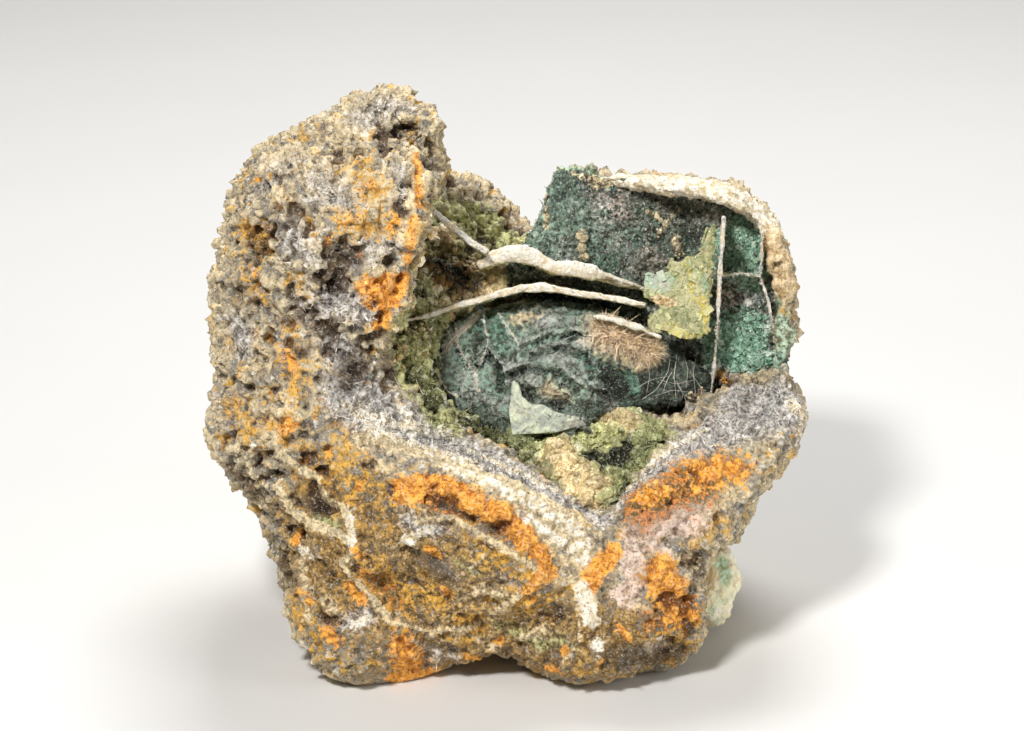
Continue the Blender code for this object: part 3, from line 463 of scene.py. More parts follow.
CRUST_RELIEF = [
    (1.2, 0.9, [(560, 455), (575, 475), (588, 488)]), (0.8, 0.5, [(570, 438), (590, 436), (606, 442)]),
    (1.5, -1.6, [(445, 258), (458, 275)]), (1.0, 0.7, [(430, 232), (445, 240)]), *raised(CRUST_LUMPS),
    *raised(CRUST_SHADED_HOLE),
]

# Fine fibres at the dome's right end and pale edges at its left: radius, rise and path.
FIBRES = [
    (0.022, 0.3, [(677, 352), (674, 375), (676, 398)]),
    (0.022, 0.3, [(676, 380), (684, 395), (690, 415)]),
    (0.022, 0.3, [(671, 352), (668, 372), (656, 390), (641, 400)]),
    (0.022, 0.2, [(676, 366), (668, 378), (662, 394)]),
    (0.018, 0.2, [(674, 380), (682, 392), (684, 412)]),
    (0.022, 0.3, [(697, 352), (693, 372), (696, 398)]),
    (0.018, 0.2, [(668, 376), (650, 380), (634, 390)]),
    (0.018, 0.2, [(690, 372), (700, 386), (704, 402)]),
    (0.022, 0.2, [(676, 398), (668, 408), (664, 420)]),
    (0.022, 0.2, [(690, 415), (697, 424), (696, 436)]),
    (0.018, 0.2, [(684, 356), (688, 370), (686, 388)]),
    (0.022, 0.2, [(718, 365), (716, 385), (722, 404)]),
    (0.018, 0.2, [(644, 358), (650, 374), (646, 396)]),
    (0.022, 0.2, [(700, 400), (715, 408), (730, 405)]),
    (0.018, 0.2, [(655, 396), (672, 390), (690, 392)]),
    (0.018, 0.2, [(660, 380), (676, 384), (694, 380)]),
    (0.022, 0.15, [(398, 352), (405, 375), (418, 400)]),
    (0.022, 0.15, [(392, 372), (402, 392), (416, 412)]),
    (0.022, 0.15, [(410, 360), (418, 385), (430, 408)]),
    (0.018, 0.15, [(388, 380), (405, 386), (424, 398)]),
    (0.018, 0.15, [(395, 398), (415, 404), (435, 418)]),
    (0.022, 0.15, [(402, 300), (410, 322), (406, 345)]),
    (0.022, 0.15, [(404, 296), (422, 304), (434, 322)]),
    (0.09, 0.05, [(441, 355), (450, 342), (458, 333), (470, 321), (483, 311)]),
    (0.05, 0.04, [(498, 313), (510, 331), (521, 348)]),
    (0.05, 0.04, [(455, 340), (465, 358), (475, 375), (478, 390)]),
    (0.04, 0.04, [(483, 311), (488, 345), (476, 374)]),
    (0.06, 0.04, [(441, 358), (438, 375), (448, 392), (456, 396)]),
]

# Strokes on the sides that the camera doesn't see: number, least and most radius, strength, steps.
UNSEEN_STROKES = {
    "orange": (26, 0.5, 1.4, 0.9, 5),
    "rust": (12, 0.4, 1.0, 0.85, 4),
    "ochre": (34, 1.0, 2.4, 0.65, 5),
    "cream": (40, 0.25, 0.5, 1.0, 14),
    "grey": (22, 1.2, 2.6, 0.85, 6),
    "dark": (26, 0.6, 1.6, 0.85, 4),
    "white": (10, 0.4, 0.8, 0.95, 4),
    "brown": (12, 3.0, 5.5, 0.9, 6),
}
UNSEEN_RIDGES = (40, 0.25, 0.45, 0.45, 14)
UNSEEN_HOLLOWS = (46, 0.4, 1.1, 0.9, 3)


def linear(*levels):
    """A screen colour of 0 to 255 as the linear colour that a shader takes."""
    parts = [level / 255 for level in levels]
    return tuple(p / 12.92 if p <= 0.04045 else ((p + 0.055) / 1.055) ** 2.4 for p in parts)


FINISH_COLOURS = {
    "cream": ("Cream coating", linear(236, 214, 170)),
    "beige": ("Beige gossan", linear(194, 176, 140)),
    "stone": ("Grey gossan", linear(148, 141, 128)),
    "brown": ("Brown gossan", linear(112, 84, 36)),
    "tan": ("Tan gossan", linear(176, 138, 70)),
    # Also painted shade: multiplied into the hollows of the slab and the dome, and in the matrix's dark
    # zone.
    "dark": ("Dark gossan", linear(72, 62, 46)),
    # Partly the pits' own brown, partly painted shade: multiplied into the hollows and mixed into the
    # dark zone.
    "pit_stain_and_shade": ("Floor of the pits", linear(104, 76, 40)),
    "ochre": ("Ochre", linear(216, 164, 62)),
    "orange": ("Orange limonite", linear(248, 178, 74)),
    "amber": ("Amber limonite", linear(212, 132, 40)),
    "rust": ("Rust", linear(206, 126, 52)),
    "grey": ("Lilac grey coating", linear(216, 210, 204)),
    "slate": ("Blue grey in the coating", linear(144, 141, 136)),
    "white": ("White crystals", linear(240, 236, 224)),
    "pink": ("Pink crystals", linear(238, 214, 200)),
    "olive": ("Olive druse", linear(186, 184, 128)),
    "moss": ("Deep olive", linear(98, 102, 50)),
    "malachite": ("Dark malachite", linear(64, 84, 68)),
    "celadon": ("Grey green malachite", linear(150, 166, 148)),
    "frost": ("Frost on the malachite", linear(186, 192, 178)),
    "teal": ("Teal malachite", linear(122, 170, 146)),
    "mint": ("Mint malachite", linear(172, 208, 182)),
    "blade": ("Chlorargyrite", linear(206, 200, 148)),
    "blade_edge": ("Chlorargyrite edge", linear(212, 190, 74)),
    "peach": ("Peach crystals", linear(234, 208, 166)),
    "apricot": ("Peach crystals' shade", linear(188, 154, 100)),
    "pistachio": ("Pale green knob", linear(222, 228, 198)),
    "rose": ("Brown needles", linear(214, 184, 156)),
    "lime": ("Pale yellow green", linear(222, 222, 158)),
    "sage": ("Sage fibres", linear(150, 156, 104)),
    # Painted shade: multiplied into hollows and laid in the dark zones of the dome and the crust.
    "painted_hollow_shade": ("Dark of the hollows", linear(30, 28, 16)),
}


class SpecimenColours(bpy.types.PropertyGroup):
    """Colours of the specimen's finishes."""

    __annotations__ = {
        key: bpy.props.FloatVectorProperty(
            name=title, description=f"Colour of the {title.lower()}", subtype="COLOR",
            size=3, min=0.0, max=1.0, default=colour,
        )
        for key, (title, colour) in FINISH_COLOURS.items()
    }


class SpecimenSizes(bpy.types.PropertyGroup):
    """Sizes that the specimen's surfaces are made to."""

    skin_voxel: bpy.props.FloatProperty(
        name="Skin cell", description="Cell of the matrix's skin", default=0.22 * MM,
        min=0.1 * MM, unit="LENGTH",
    )
    skin_triangles: bpy.props.IntProperty(
        name="Skin triangles", description="Most triangles on the matrix's skin",
        default=192000, min=1000,
    )
    grain: bpy.props.FloatProperty(
        name="Grain", description="Middle size of the grains on the matrix", default=0.42 * MM,
        min=0.05 * MM, unit="LENGTH",
    )
    seed: bpy.props.IntProperty(name="Seed", description="Start of all random places", default=7)


def sizes():
    return bpy.context.scene.specimen_sizes


def tint(key):
    return tuple(getattr(bpy.context.scene.specimen_colours, key))


# Working on objects as by hand.


def select_only(obj):
    bpy.ops.object.select_all(action="DESELECT")
    obj.select_set(True)
    bpy.context.view_layer.objects.active = obj


def modified(obj, kind, **settings):
    """Add a modifier with these settings and apply it."""
    select_only(obj)
    modifier = obj.modifiers.new(kind.title(), kind)
    for key, value in settings.items():
        setattr(modifier, key, value)
    bpy.ops.object.modifier_apply(modifier=modifier.name)
    return obj


def copied(node, name):
    """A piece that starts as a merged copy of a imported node."""
    obj = bpy.data.objects.new(name, frame["nodes"][node].data.copy())
    bpy.context.scene.collection.objects.link(obj)
    obj.data.materials.clear()
    select_only(obj)
    bpy.ops.object.mode_set(mode="EDIT")
    bpy.ops.mesh.select_all(action="SELECT")
    bpy.ops.mesh.remove_doubles(threshold=0.001 * MM)
    bpy.ops.object.mode_set(mode="OBJECT")
    return obj


def remeshed(obj, voxel):
    return modified(obj, "REMESH", mode="VOXEL", voxel_size=voxel, use_smooth_shade=True)


def smoothed(obj, rounds, factor=0.5):
    return modified(obj, "SMOOTH", iterations=rounds, factor=factor)


def swollen(obj, height):
    """Move the whole surface along its normals by this height in mm."""
    return modified(obj, "DISPLACE", strength=height * MM, mid_level=0.0)


def roughened(obj, kind, grain, height, middle=0.5, group="", **settings):
    """Displace the surface by a procedural texture of this grain and height, in mm."""
    texture = bpy.data.textures.new(f"{obj.name} {kind.lower()} {grain}", kind)
    texture.noise_scale = grain * MM
    for key, value in settings.items():
        setattr(texture, key, value)
    modified(
        obj, "DISPLACE", texture=texture, texture_coords="LOCAL", strength=height * MM,
        mid_level=middle, vertex_group=group,
    )
    bpy.data.textures.remove(texture)
    return obj


def grained(obj, layers):
    """Roughen a surface by layers: kind of texture, grain and height in mm, and what else is set."""
    for kind, grain, height, settings in layers:
        roughened(obj, kind, grain, height, **settings)


def pushed(obj, group, height):
    """Move the surface along its normals by the group's weight times the height, in mm."""
    return modified(obj, "DISPLACE", strength=height * MM, mid_level=0.0, vertex_group=group)


def places(obj):
    """The vertices of an object, in mm."""
    flat = np.empty(len(obj.data.vertices) * 3, np.float32)
    obj.data.vertices.foreach_get("co", flat)
    return flat.reshape(-1, 3).astype(float) / MM


def normals(obj):
    flat = np.empty(len(obj.data.vertices) * 3, np.float32)
    obj.data.vertex_normals.foreach_get("vector", flat)
    return flat.reshape(-1, 3).astype(float)


def triangles_of(obj):
    mesh = obj.data
    mesh.calc_loop_triangles()
    corners = np.empty(len(mesh.loop_triangles) * 3, np.int32)
    mesh.loop_triangles.foreach_get("vertices", corners)
    return corners.reshape(-1, 3)


def set_field(obj, name, values):
    """Keep a number for each vertex, for the shader or for scattering."""
    attribute = obj.data.attributes.get(name) or obj.data.attributes.new(name, "FLOAT", "POINT")
    attribute.data.foreach_set("value", np.asarray(values, np.float32))


def field(obj, name):
    values = np.zeros(len(obj.data.vertices), np.float32)
    attribute = obj.data.attributes.get(name)
    if attribute:
        attribute.data.foreach_get("value", values)
    return values.astype(float)


def set_group(obj, name, weights, steps=24):
    """A vertex group with these weights, in a few steps."""
    group = obj.vertex_groups.get(name) or obj.vertex_groups.new(name=name)
    level = np.rint(np.clip(weights, 0.0, 1.0) * steps).astype(int)
    for k in range(1, steps + 1):
        picked = np.nonzero(level == k)[0].tolist()
        if picked:
            group.add(picked, k / steps, "REPLACE")
    return name


def finished(piece, material, node=None):
    """Dress a piece, seat it on the frame and let it stand for its node."""
    piece.data.materials.clear()
    piece.data.materials.append(material)
    piece.vertex_groups.clear()
    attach(piece, "root")
    if node:
        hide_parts(node)


# Where the camera's rays land.

# How far off the surface a ray towards the camera starts, and how a wandering path goes.
PROBE_LIFT = 0.3
WANDER_STRIDE = 0.7
WANDER_TURN = 0.5
PIXEL_STEP = 5.0


class Ground:
    """A surface that strokes and crystals are set on."""

    def __init__(self, *objects):
        self.objects = objects
        self.at = np.concatenate([places(obj) for obj in objects])
        self.normals = np.concatenate([normals(obj) for obj in objects])
        starts = np.cumsum([0] + [len(obj.data.vertices) for obj in objects])
        pieces = [triangles_of(obj) + start for obj, start in zip(objects, starts)]
        self.triangles = np.concatenate(pieces)
        self.tree = BVHTree.FromPolygons(self.at.tolist(), self.triangles.tolist())

    def field(self, name):
        return np.concatenate([field(obj, name) for obj in self.objects])

    def past(self, zone):
        """How far a zone's cover passes its least value, and 0 below it."""
        return np.clip(self.field(zone) - LEAST_COVER[zone], 0, 1)

    def under(self, path, step=PIXEL_STEP):
        """Points on the surface under a path of pixels."""
        pixels = [path[0]]
        for (x1, y1), (x2, y2) in zip(path, path[1:]):
            count = max(1, round(math.hypot(x2 - x1, y2 - y1) / step))
            for k in range(1, count + 1):
                pixels.append((x1 + (x2 - x1) * k / count, y1 + (y2 - y1) * k / count))
        hits = [self.tree.ray_cast(EYE, ray(x, y))[0] for x, y in pixels]
        return np.array([hit[:] for hit in hits if hit])

    def unseen(self, chance):
        """A random vertex that the camera doesn't see."""
        while True:
            k = int(chance.integers(len(self.at)))
            outward = Vector(self.normals[k])
            spot = Vector(self.at[k]) + outward * PROBE_LIFT
            towards = EYE - spot
            if outward.dot(towards) < 0 or self.tree.ray_cast(spot, towards.normalized())[0]:
                return spot, outward

    def wander(self, chance, steps):
        """A path that wanders over the unseen side."""
        spot, outward = self.unseen(chance)
        heading = Vector(chance.normal(size=3))
        path = []
        for _ in range(steps):
            path.append(spot[:])
            heading = heading + Vector(chance.normal(size=3)) * WANDER_TURN
            heading = (heading - outward * heading.dot(outward)).normalized()
            spot, outward, _, _ = self.tree.find_nearest(spot + heading * WANDER_STRIDE)
        return np.array(path)


def ray(x, y):
    """The direction in which the camera sees a pixel."""
    across = EYE_RIGHT * ((x - FRAME_WIDTH / 2) / PIXELS_PER_MM)
    up = EYE_UP * ((FRAME_HEIGHT / 2 - y) / PIXELS_PER_MM)
    return (EYE_TARGET + across + up - EYE).normalized()


def covered(at, strokes):
    """How well strokes cover each place: their strength on the path, half of it at the radius."""
    cover = np.zeros(len(at))
    for radius, strength, points in strokes:
        if not len(points):
            continue
        low, high = points.min(0) - 2 * radius, points.max(0) + 2 * radius
        near = np.nonzero(np.all((at > low) & (at < high), axis=1))[0]
        gap = np.full(len(near), 1e3)
        for point in points:
            gap = np.minimum(gap, np.linalg.norm(at[near] - point, axis=1))
        cover[near] = np.maximum(cover[near], strength * np.clip(1 - gap / (2 * radius), 0, 1))
    return cover


def placed(ground, strokes):
    return [(radius, strength, ground.under(path)) for radius, strength, path in strokes]


def unseen_strokes(ground, count, least, most, strength, steps, chance):
    return [
        (chance.uniform(least, most), strength, ground.wander(chance, steps))
        for _ in range(count)
    ]


# Shaders as expressions.


class Term:
    """A number that varies over a surface. Arithmetic on it adds Math nodes."""

    def __init__(self, shade, socket):
        self.shade = shade
        self.socket = socket

    def math(self, operation, *terms):
        node = self.shade.node("ShaderNodeMath", dict(enumerate(terms)), operation=operation)
        return Term(self.shade, node.outputs[0])

    def __add__(self, other):
        return self.math("ADD", self, other)

    def __mul__(self, other):
        return self.math("MULTIPLY", self, other)

    def __sub__(self, other):
        return self.math("SUBTRACT", self, other)

    def __rsub__(self, other):
        return self.math("SUBTRACT", other, self)

    __radd__ = __add__
    __rmul__ = __mul__

    def between(self, low, high):
        """0 at low, 1 at high, and a smooth step between. Low may be above high."""
        node = self.shade.node(
            "ShaderNodeMapRange", {"Value": self, "From Min": low, "From Max": high},
            interpolation_type="SMOOTHSTEP", clamp=True,
        )
        return Term(self.shade, node.outputs["Result"])


class Shade:
    """A material being made."""

    def __init__(self, name):
        self.material = bpy.data.materials.new(name)
        self.material.use_nodes = True
        self.tree = self.material.node_tree
        self.surface = self.tree.nodes["Principled BSDF"]
        where = self.node("ShaderNodeTexCoord").outputs["Object"]
        scaled = self.node("ShaderNodeVectorMath", {0: where, "Scale": 1 / MM}, operation="SCALE")
        self.place = scaled.outputs[0]

    def node(self, kind, sockets=None, **settings):
        made = self.tree.nodes.new(kind)
        for key, value in settings.items():
            setattr(made, key, value)
        for key, value in (sockets or {}).items():
            self.feed(made.inputs[key], value)
        return made

    def feed(self, socket, value):
        if isinstance(value, Term):
            value = value.socket
        if isinstance(value, bpy.types.NodeSocket):
            self.tree.links.new(value, socket)
        elif socket.type == "RGBA" and len(value) == 3:
            socket.default_value = (*value, 1.0)
        else:
            socket.default_value = value

    def field(self, name):
        return Term(self, self.node("ShaderNodeAttribute", attribute_name=name).outputs["Fac"])

    def noise(self, grain, detail=2.0, rough=0.55, bend=0.0):
        """Noise from 0 to 1 with this grain in mm."""
        sockets = {"Scale": 1 / grain, "Detail": detail, "Roughness": rough, "Distortion": bend}
        made = self.node("ShaderNodeTexNoise", {"Vector": self.place, **sockets})
        return Term(self, made.outputs["Fac"])

    def cells(self, grain, feature, shift):
        """Distance in cells of this grain in mm, their pattern shifted by a number that varies."""
        moved = self.node("ShaderNodeVectorMath", {0: self.place, 1: shift}, operation="ADD")
        sockets = {"Vector": moved.outputs[0], "Scale": 1 / grain}
        made = self.node("ShaderNodeTexVoronoi", sockets, feature=feature)
        return Term(self, made.outputs["Distance"])

    def mix(self, share, one, other, blend="MIX"):
        """A colour between one and the other."""
        made = self.node(
            "ShaderNodeMix", {0: share, 6: one, 7: other}, data_type="RGBA", blend_type=blend
        )
        return made.outputs[2]

    def bump(self, height, depth, strength, under=None):
        sockets = {"Height": height, "Distance": depth * MM, "Strength": strength}
        if under:
            sockets["Normal"] = under
        return self.node("ShaderNodeBump", sockets).outputs[0]

    def done(self, colour, roughness, normal=None, **constants):
        self.feed(self.surface.inputs["Base Color"], colour)
        self.feed(self.surface.inputs["Roughness"], roughness)
        if normal:
            self.feed(self.surface.inputs["Normal"], normal)
        for key, value in constants.items():
            self.surface.inputs[key.replace("_", " ")].default_value = value
        return self.material


# Layers of each surface, from the lowest: zone, its two colours, softness, raggedness and share.
GOSSAN_GROUND = [("brown", "brown", "tan", 0.25, 1.1, 0.85)]
GOSSAN_LAYERS = [
    ("brown", "brown", "tan", 0.25, 1.1, 0.4),
    ("grey", "slate", "grey", 0.2, 0.9, 0.9),
    ("olive", "moss", "olive", 0.15, 0.6, 1.0),
    ("ochre", "tan", "ochre", 0.12, 1.3, 0.9),
    ("dark", "pit_stain_and_shade", "dark", 0.18, 0.8, 0.85),
    ("cream", "beige", "cream", 0.16, 0.8, 0.9),
    ("pink", "rose", "pink", 0.16, 0.8, 0.85),
    ("rust", "brown", "rust", 0.16, 1.0, 0.85),
    ("orange", "amber", "orange", 0.12, 0.9, 0.97),
    ("sulphur", "olive", "lime", 0.2, 0.9, 0.85),
    ("green", "malachite", "mint", 0.16, 0.9, 0.9),
    ("peach", "apricot", "peach", 0.16, 0.5, 0.9),
    ("white", "cream", "white", 0.14, 0.7, 0.95),
]
SLAB_LAYERS = [
    ("frost", "celadon", "grey", 0.3, 1.4, 0.75),
    ("teal", "malachite", "teal", 0.3, 1.4, 0.7),
    ("brown", "dark", "pink", 0.2, 1.2, 0.75),
    ("dark", "dark", "malachite", 0.25, 1.2, 0.7),
    ("grey", "slate", "grey", 0.16, 0.9, 0.85),
    ("cream", "beige", "cream", 0.14, 0.7, 0.95),
]
DOME_LAYERS = [
    ("frost", "celadon", "grey", 0.3, 1.4, 0.75),
    ("dark", "painted_hollow_shade", "malachite", 0.25, 1.2, 0.8),
    ("teal", "malachite", "teal", 0.3, 1.4, 0.75),
    ("brown", "rose", "cream", 0.2, 0.9, 0.95),
    ("grey", "slate", "mint", 0.18, 0.9, 0.6),
    ("white", "cream", "white", 0.12, 0.4, 0.9),
]
BLADE_LAYERS = [
    ("edge", "blade", "blade_edge", 0.2, 1.0, 0.9),
    ("mint", "grey", "mint", 0.2, 0.7, 0.75),
    ("peach", "tan", "peach", 0.14, 0.7, 0.95),
]
KNOB_LAYERS = [("mint", "sage", "mint", 0.2, 0.8, 0.9)]
CRUST_LAYERS = [
    ("green", "moss", "sage", 0.2, 0.9, 0.85),
    ("dark", "painted_hollow_shade", "moss", 0.18, 0.8, 0.95),
    ("peach", "apricot", "peach", 0.16, 0.8, 0.95),
    ("sulphur", "olive", "lime", 0.16, 0.7, 0.95),
]
# Painted shade: olive on the septa's undersides, read from the field under.
CREAM_UNDERSIDE_SHADE = [("under", "moss", "olive", 0.3, 0.5, 0.8)]
GREY_UNDERSIDE_SHADE = [("under", "moss", "olive", 0.3, 0.5, 0.6)]
# Flecks: colour, grain, least noise and share.
GOSSAN_FLECKS = [
    ("brown", 1.3, 0.55, 0.6),
    ("slate", 1.3, 0.57, 0.7),
    ("ochre", 1.6, 0.57, 0.85),
    ("orange", 1.5, 0.68, 0.9),
    ("dark", 0.6, 0.6, 0.75),
    ("white", 0.7, 0.6, 0.75),
]
SLAB_FLECKS = [
    ("grey", 1.3, 0.57, 0.6),
    ("dark", 1.0, 0.57, 0.7),
    ("teal", 1.6, 0.6, 0.6),
    ("white", 0.45, 0.62, 0.7),
]


def zoned(shade, colour, layers, ragged, streak):
    """Lay coloured zones with ragged edges over a colour."""
    for zone, low, high, soft, reach, share in layers:
        cover = (shade.field(zone) + ragged * reach).between(0.5 - soft, 0.5 + soft)
        colour = shade.mix(cover * share, colour, shade.mix(streak, tint(low), tint(high)))
    return colour


def mottled(name, base, patch, layers, grains=(3.2, 0.9, 0.34, 0.16), sunk="pit_stain_and_shade", raised="cream",
            relief=0.3, specks=0.5, glints=0.35, pale="white", depth=(0.16, 0.07), value=1.0,
            vary=0.7, cracks=None, under=(), flecks=(), gloss=0.92, **constants):
    """A granular surface: two base colours, a third in patches, zones under flecks, then more zones.

    grains are the grain of the large, middle, fine and finest noise, in mm. sunk and raised name
    the colours that hollows and crests take as they pass relief in mm: sunk is multiplied into the
    hollows as painted shade and also colours the cracks, and raised lightens the crests, partly as a
    paler top and partly as painted highlight. glints sets white specks that are painted glints.
    depth is the bump's, in mm.
    """
    shade = Shade(name)
    large = shade.noise(grains[0], 3.0, 0.6)
    middle = shade.noise(grains[1], 3.0, 0.62, 0.5)
    fine = shade.noise(grains[2], 2.0, 0.6)
    grit = shade.noise(grains[3], 2.0, 0.6)
    tone = shade.field("tone")
    height = shade.field("height") + (fine - 0.5) * relief * 0.8
    ragged = (middle - 0.5) * 0.9 + (fine - 0.5) * 0.8 + (large - 0.5) * 0.5
    streak = (fine + (middle - 0.5) * 0.5).between(0.38, 0.6)
    colour = shade.mix(middle.between(0.36, 0.62), tint(base[0]), tint(base[1]))
    colour = shade.mix((large + (fine - 0.5) * 0.4).between(0.5, 0.66) * 0.75, colour, tint(patch))
    # The crests take the raised colour, partly as a paler top and partly as painted highlight.
    colour = shade.mix(height.between(0.1 * relief, 1.4 * relief) * 0.5, colour, tint(raised))
    colour = shade.mix(tone.between(0.78, 0.9) * 0.45, colour, tint(pale))
    colour = zoned(shade, colour, under, ragged, streak)
    for fleck, grain, least, share in flecks:
        spot = shade.noise(grain, 3.0, 0.65, 0.6).between(least, least + 0.07)
        colour = shade.mix(spot * share, colour, tint(fleck))
    if cracks:
        edge = shade.cells(cracks, "DISTANCE_TO_EDGE", (middle - 0.5) * 0.5)
        colour = shade.mix(edge.between(0.1, 0.02) * 0.7, colour, tint(sunk))
    colour = zoned(shade, colour, layers, ragged, streak)
    # More of the raised colour on the highest crests, partly painted highlight.
    colour = shade.mix(height.between(0.3 * relief, 1.6 * relief) * 0.16, colour, tint(raised))
    # Painted shade: the hollows are multiplied by the sunk colour.
    hollow = height.between(-0.5 * relief, -2.2 * relief) * 0.85
    colour = shade.mix(hollow, colour, tint(sunk), "MULTIPLY")
    colour = shade.mix(grit.between(0.56, 0.68) * specks, colour, tint("dark"), "MULTIPLY")
    # Painted glints: white specks that stand in for highlights.
    colour = shade.mix(grit.between(0.43, 0.34) * glints, colour, tint("white"))
    level = (tone - 0.5) * vary + (fine - 0.5) * 0.6 + (middle - 0.5) * 0.6 + value
    colour = shade.node("ShaderNodeHueSaturation", {"Color": colour, "Value": level}).outputs[0]
    bumps = shade.bump(middle, depth[0] * 2.2, 0.6)
    bumps = shade.bump(fine, depth[0], 0.8, bumps)
    bumps = shade.bump(grit, depth[1], 0.7, bumps)
    return shade.done(colour, gloss - grit.between(0.58, 0.7) * 0.35, bumps, **constants)


def gossan_surface():
    return mottled("granular gossan", ("stone", "beige"), "cream", GOSSAN_LAYERS, under=GOSSAN_GROUND,
                   flecks=GOSSAN_FLECKS, grains=(3.2, 0.9, 0.4, 0.19), specks=0.7, glints=0.32,
                   vary=1.15)


def slab_surface():
    return mottled("dark malachite of the slab", ("malachite", "celadon"), "stone", SLAB_LAYERS,
                   grains=(2.0, 0.6, 0.3, 0.15), sunk="dark", raised="celadon", relief=0.2,
                   glints=0.5, specks=0.6, value=0.82, vary=1.3, cracks=1.1, flecks=SLAB_FLECKS)


def cell_druse_surface():
    return mottled("cell druse", ("teal", "mint"), "mint", [], grains=(1.2, 0.4, 0.18, 0.1),
                   sunk="malachite", raised="mint", relief=0.3, specks=0.5)


def dome_surface():
    return mottled("dark malachite of the dome", ("malachite", "celadon"), "celadon", DOME_LAYERS,
                   grains=(1.8, 0.6, 0.3, 0.15), sunk="dark", raised="frost", relief=0.3,
                   glints=0.4, specks=0.5, value=0.9, vary=1.3, cracks=1.1, flecks=SLAB_FLECKS)


def tan_needle_surface():
    return mottled("tan needles", ("rose", "pink"), "cream", [], grains=(1.2, 0.5, 0.3, 0.15),
                   specks=0.3, sunk="tan", value=1.15)


def olive_druse_surface():
    return mottled("olive druse", ("moss", "olive"), "lime", CRUST_LAYERS,
                   grains=(1.8, 0.7, 0.3, 0.16), sunk="painted_hollow_shade", raised="lime", relief=0.26, glints=0.5)


def tan_druse_surface():
    return mottled("tan druse", ("apricot", "olive"), "tan", [], grains=(1.2, 0.6, 0.3, 0.16),
                   sunk="tan", raised="peach", relief=0.5, glints=0.5, specks=0.4, value=1.2,
                   vary=1.2, gloss=0.6)


def cream_septum_surface():
    return mottled("cream septum", ("cream", "white"), "white", CREAM_UNDERSIDE_SHADE,
                   grains=(1.4, 0.5, 0.2, 0.1), raised="white", specks=0.15, relief=0.15, value=1.1)


def grey_septum_surface():
    return mottled("grey septum", ("grey", "white"), "cream", GREY_UNDERSIDE_SHADE,
                   grains=(1.2, 0.4, 0.2, 0.1), specks=0.3, relief=0.15, value=1.1)


def blade_surface():
    return mottled("chlorargyrite", ("blade", "sage"), "blade", BLADE_LAYERS,
                   grains=(1.6, 0.7, 0.24, 0.13), glints=0.4, specks=0.35, pale="lime", vary=0.4,
                   gloss=0.5, Coat_Weight=0.3)


def flake_surface():
    return mottled("pale flake", ("frost", "pistachio"), "stone", [], grains=(2.6, 1.1, 0.4, 0.2),
                   specks=0.3, raised="white", gloss=0.7)


def knob_surface():
    return mottled("pale malachite", ("pistachio", "cream"), "white", KNOB_LAYERS, value=1.5,
                   grains=(1.4, 0.6, 0.3, 0.15), sunk="olive", specks=0.15)


def fibre_surface():
    return mottled("white fibre", ("grey", "white"), "cream", [], grains=(1.0, 0.5, 0.2, 0.1),
                   specks=0.2)


def floor_surface():
    shade = Shade("floor")
    low, high = (linear(*grey) for grey in FLOOR_GREYS)
    return shade.done(shade.mix(shade.noise(FLOOR_GRAIN, 3.0), low, high), FLOOR_ROUGHNESS)


# Crystals and grains joined as one mesh.


def template(build):
    """The vertices and triangles of a small shape made by a primitive operator."""
    bpy.ops.object.select_all(action="DESELECT")
    build()
    obj = bpy.context.object
    mesh = obj.data
    shape = places(obj) * MM, triangles_of(obj)
    bpy.data.objects.remove(obj, do_unlink=True)
    bpy.data.meshes.remove(mesh)
    return shape


def chip():
    """A rough chip: a six-cornered grain with eight faces."""
    bpy.ops.mesh.primitive_cone_add(
        vertices=4, radius1=0.5, depth=0.5, end_fill_type="NOTHING", location=(0, 0, 0.25)
    )
    bpy.ops.object.transform_apply(location=True)
    modified(bpy.context.object, "MIRROR", use_axis=(False, False, True))


def nodule():
    """A rounded grain."""
    bpy.ops.mesh.primitive_ico_sphere_add(subdivisions=1, radius=0.5)


def cube_crystal():
    bpy.ops.mesh.primitive_cube_add(size=0.8)


def needle():
    """A three-sided needle that stands on its foot."""
    bpy.ops.mesh.primitive_cone_add(vertices=3, radius1=0.5, depth=1.0, location=(0, 0, 0.5))
    bpy.ops.object.transform_apply(location=True)


def joined(name, corners, triangles):
    """One mesh from places in mm and triangles."""
    mesh = bpy.data.meshes.new(name)
    mesh.vertices.add(len(corners))
    mesh.vertices.foreach_set("co", (corners * MM).astype(np.float32).ravel())
    mesh.loops.add(triangles.size)
    mesh.loops.foreach_set("vertex_index", triangles.astype(np.int32).ravel())
    mesh.polygons.add(len(triangles))
    mesh.polygons.foreach_set("loop_start", np.arange(0, triangles.size, 3, dtype=np.int32))
    mesh.update(calc_edges=True)
    mesh.shade_flat()
    obj = bpy.data.objects.new(name, mesh)
    bpy.context.scene.collection.objects.link(obj)
    return obj


def turned(chance, count):
    """Random rotation matrices."""
    q = chance.normal(size=(count, 4))
    w, x, y, z = (q / np.linalg.norm(q, axis=1, keepdims=True)).T
    rows = [
        [1 - 2 * (y * y + z * z), 2 * (x * y - z * w), 2 * (x * z + y * w)],
        [2 * (x * y + z * w), 1 - 2 * (x * x + z * z), 2 * (y * z - x * w)],
        [2 * (x * z - y * w), 2 * (y * z + x * w), 1 - 2 * (x * x + y * y)],
    ]
    return np.array(rows).transpose(2, 0, 1)


def upright(chance, up, lean):
    """Rotation matrices whose third axis follows up, within a random lean."""
    axis = up + chance.normal(size=up.shape) * lean
    axis /= np.linalg.norm(axis, axis=1, keepdims=True)
    side = np.cross(axis, chance.normal(size=up.shape))
    side /= np.linalg.norm(side, axis=1, keepdims=True)
    return np.stack([side, np.cross(axis, side), axis], axis=2)


# Variation of a grain's three sides, and how much its tip passes its foot in height, for each mm.
# The shader reads this height, so a grain's foot takes painted shade and its tip the crest colour,
# partly painted highlight.
GRAIN_UNEVEN = 0.25
GRAIN_SHADE_LIFT = 0.6


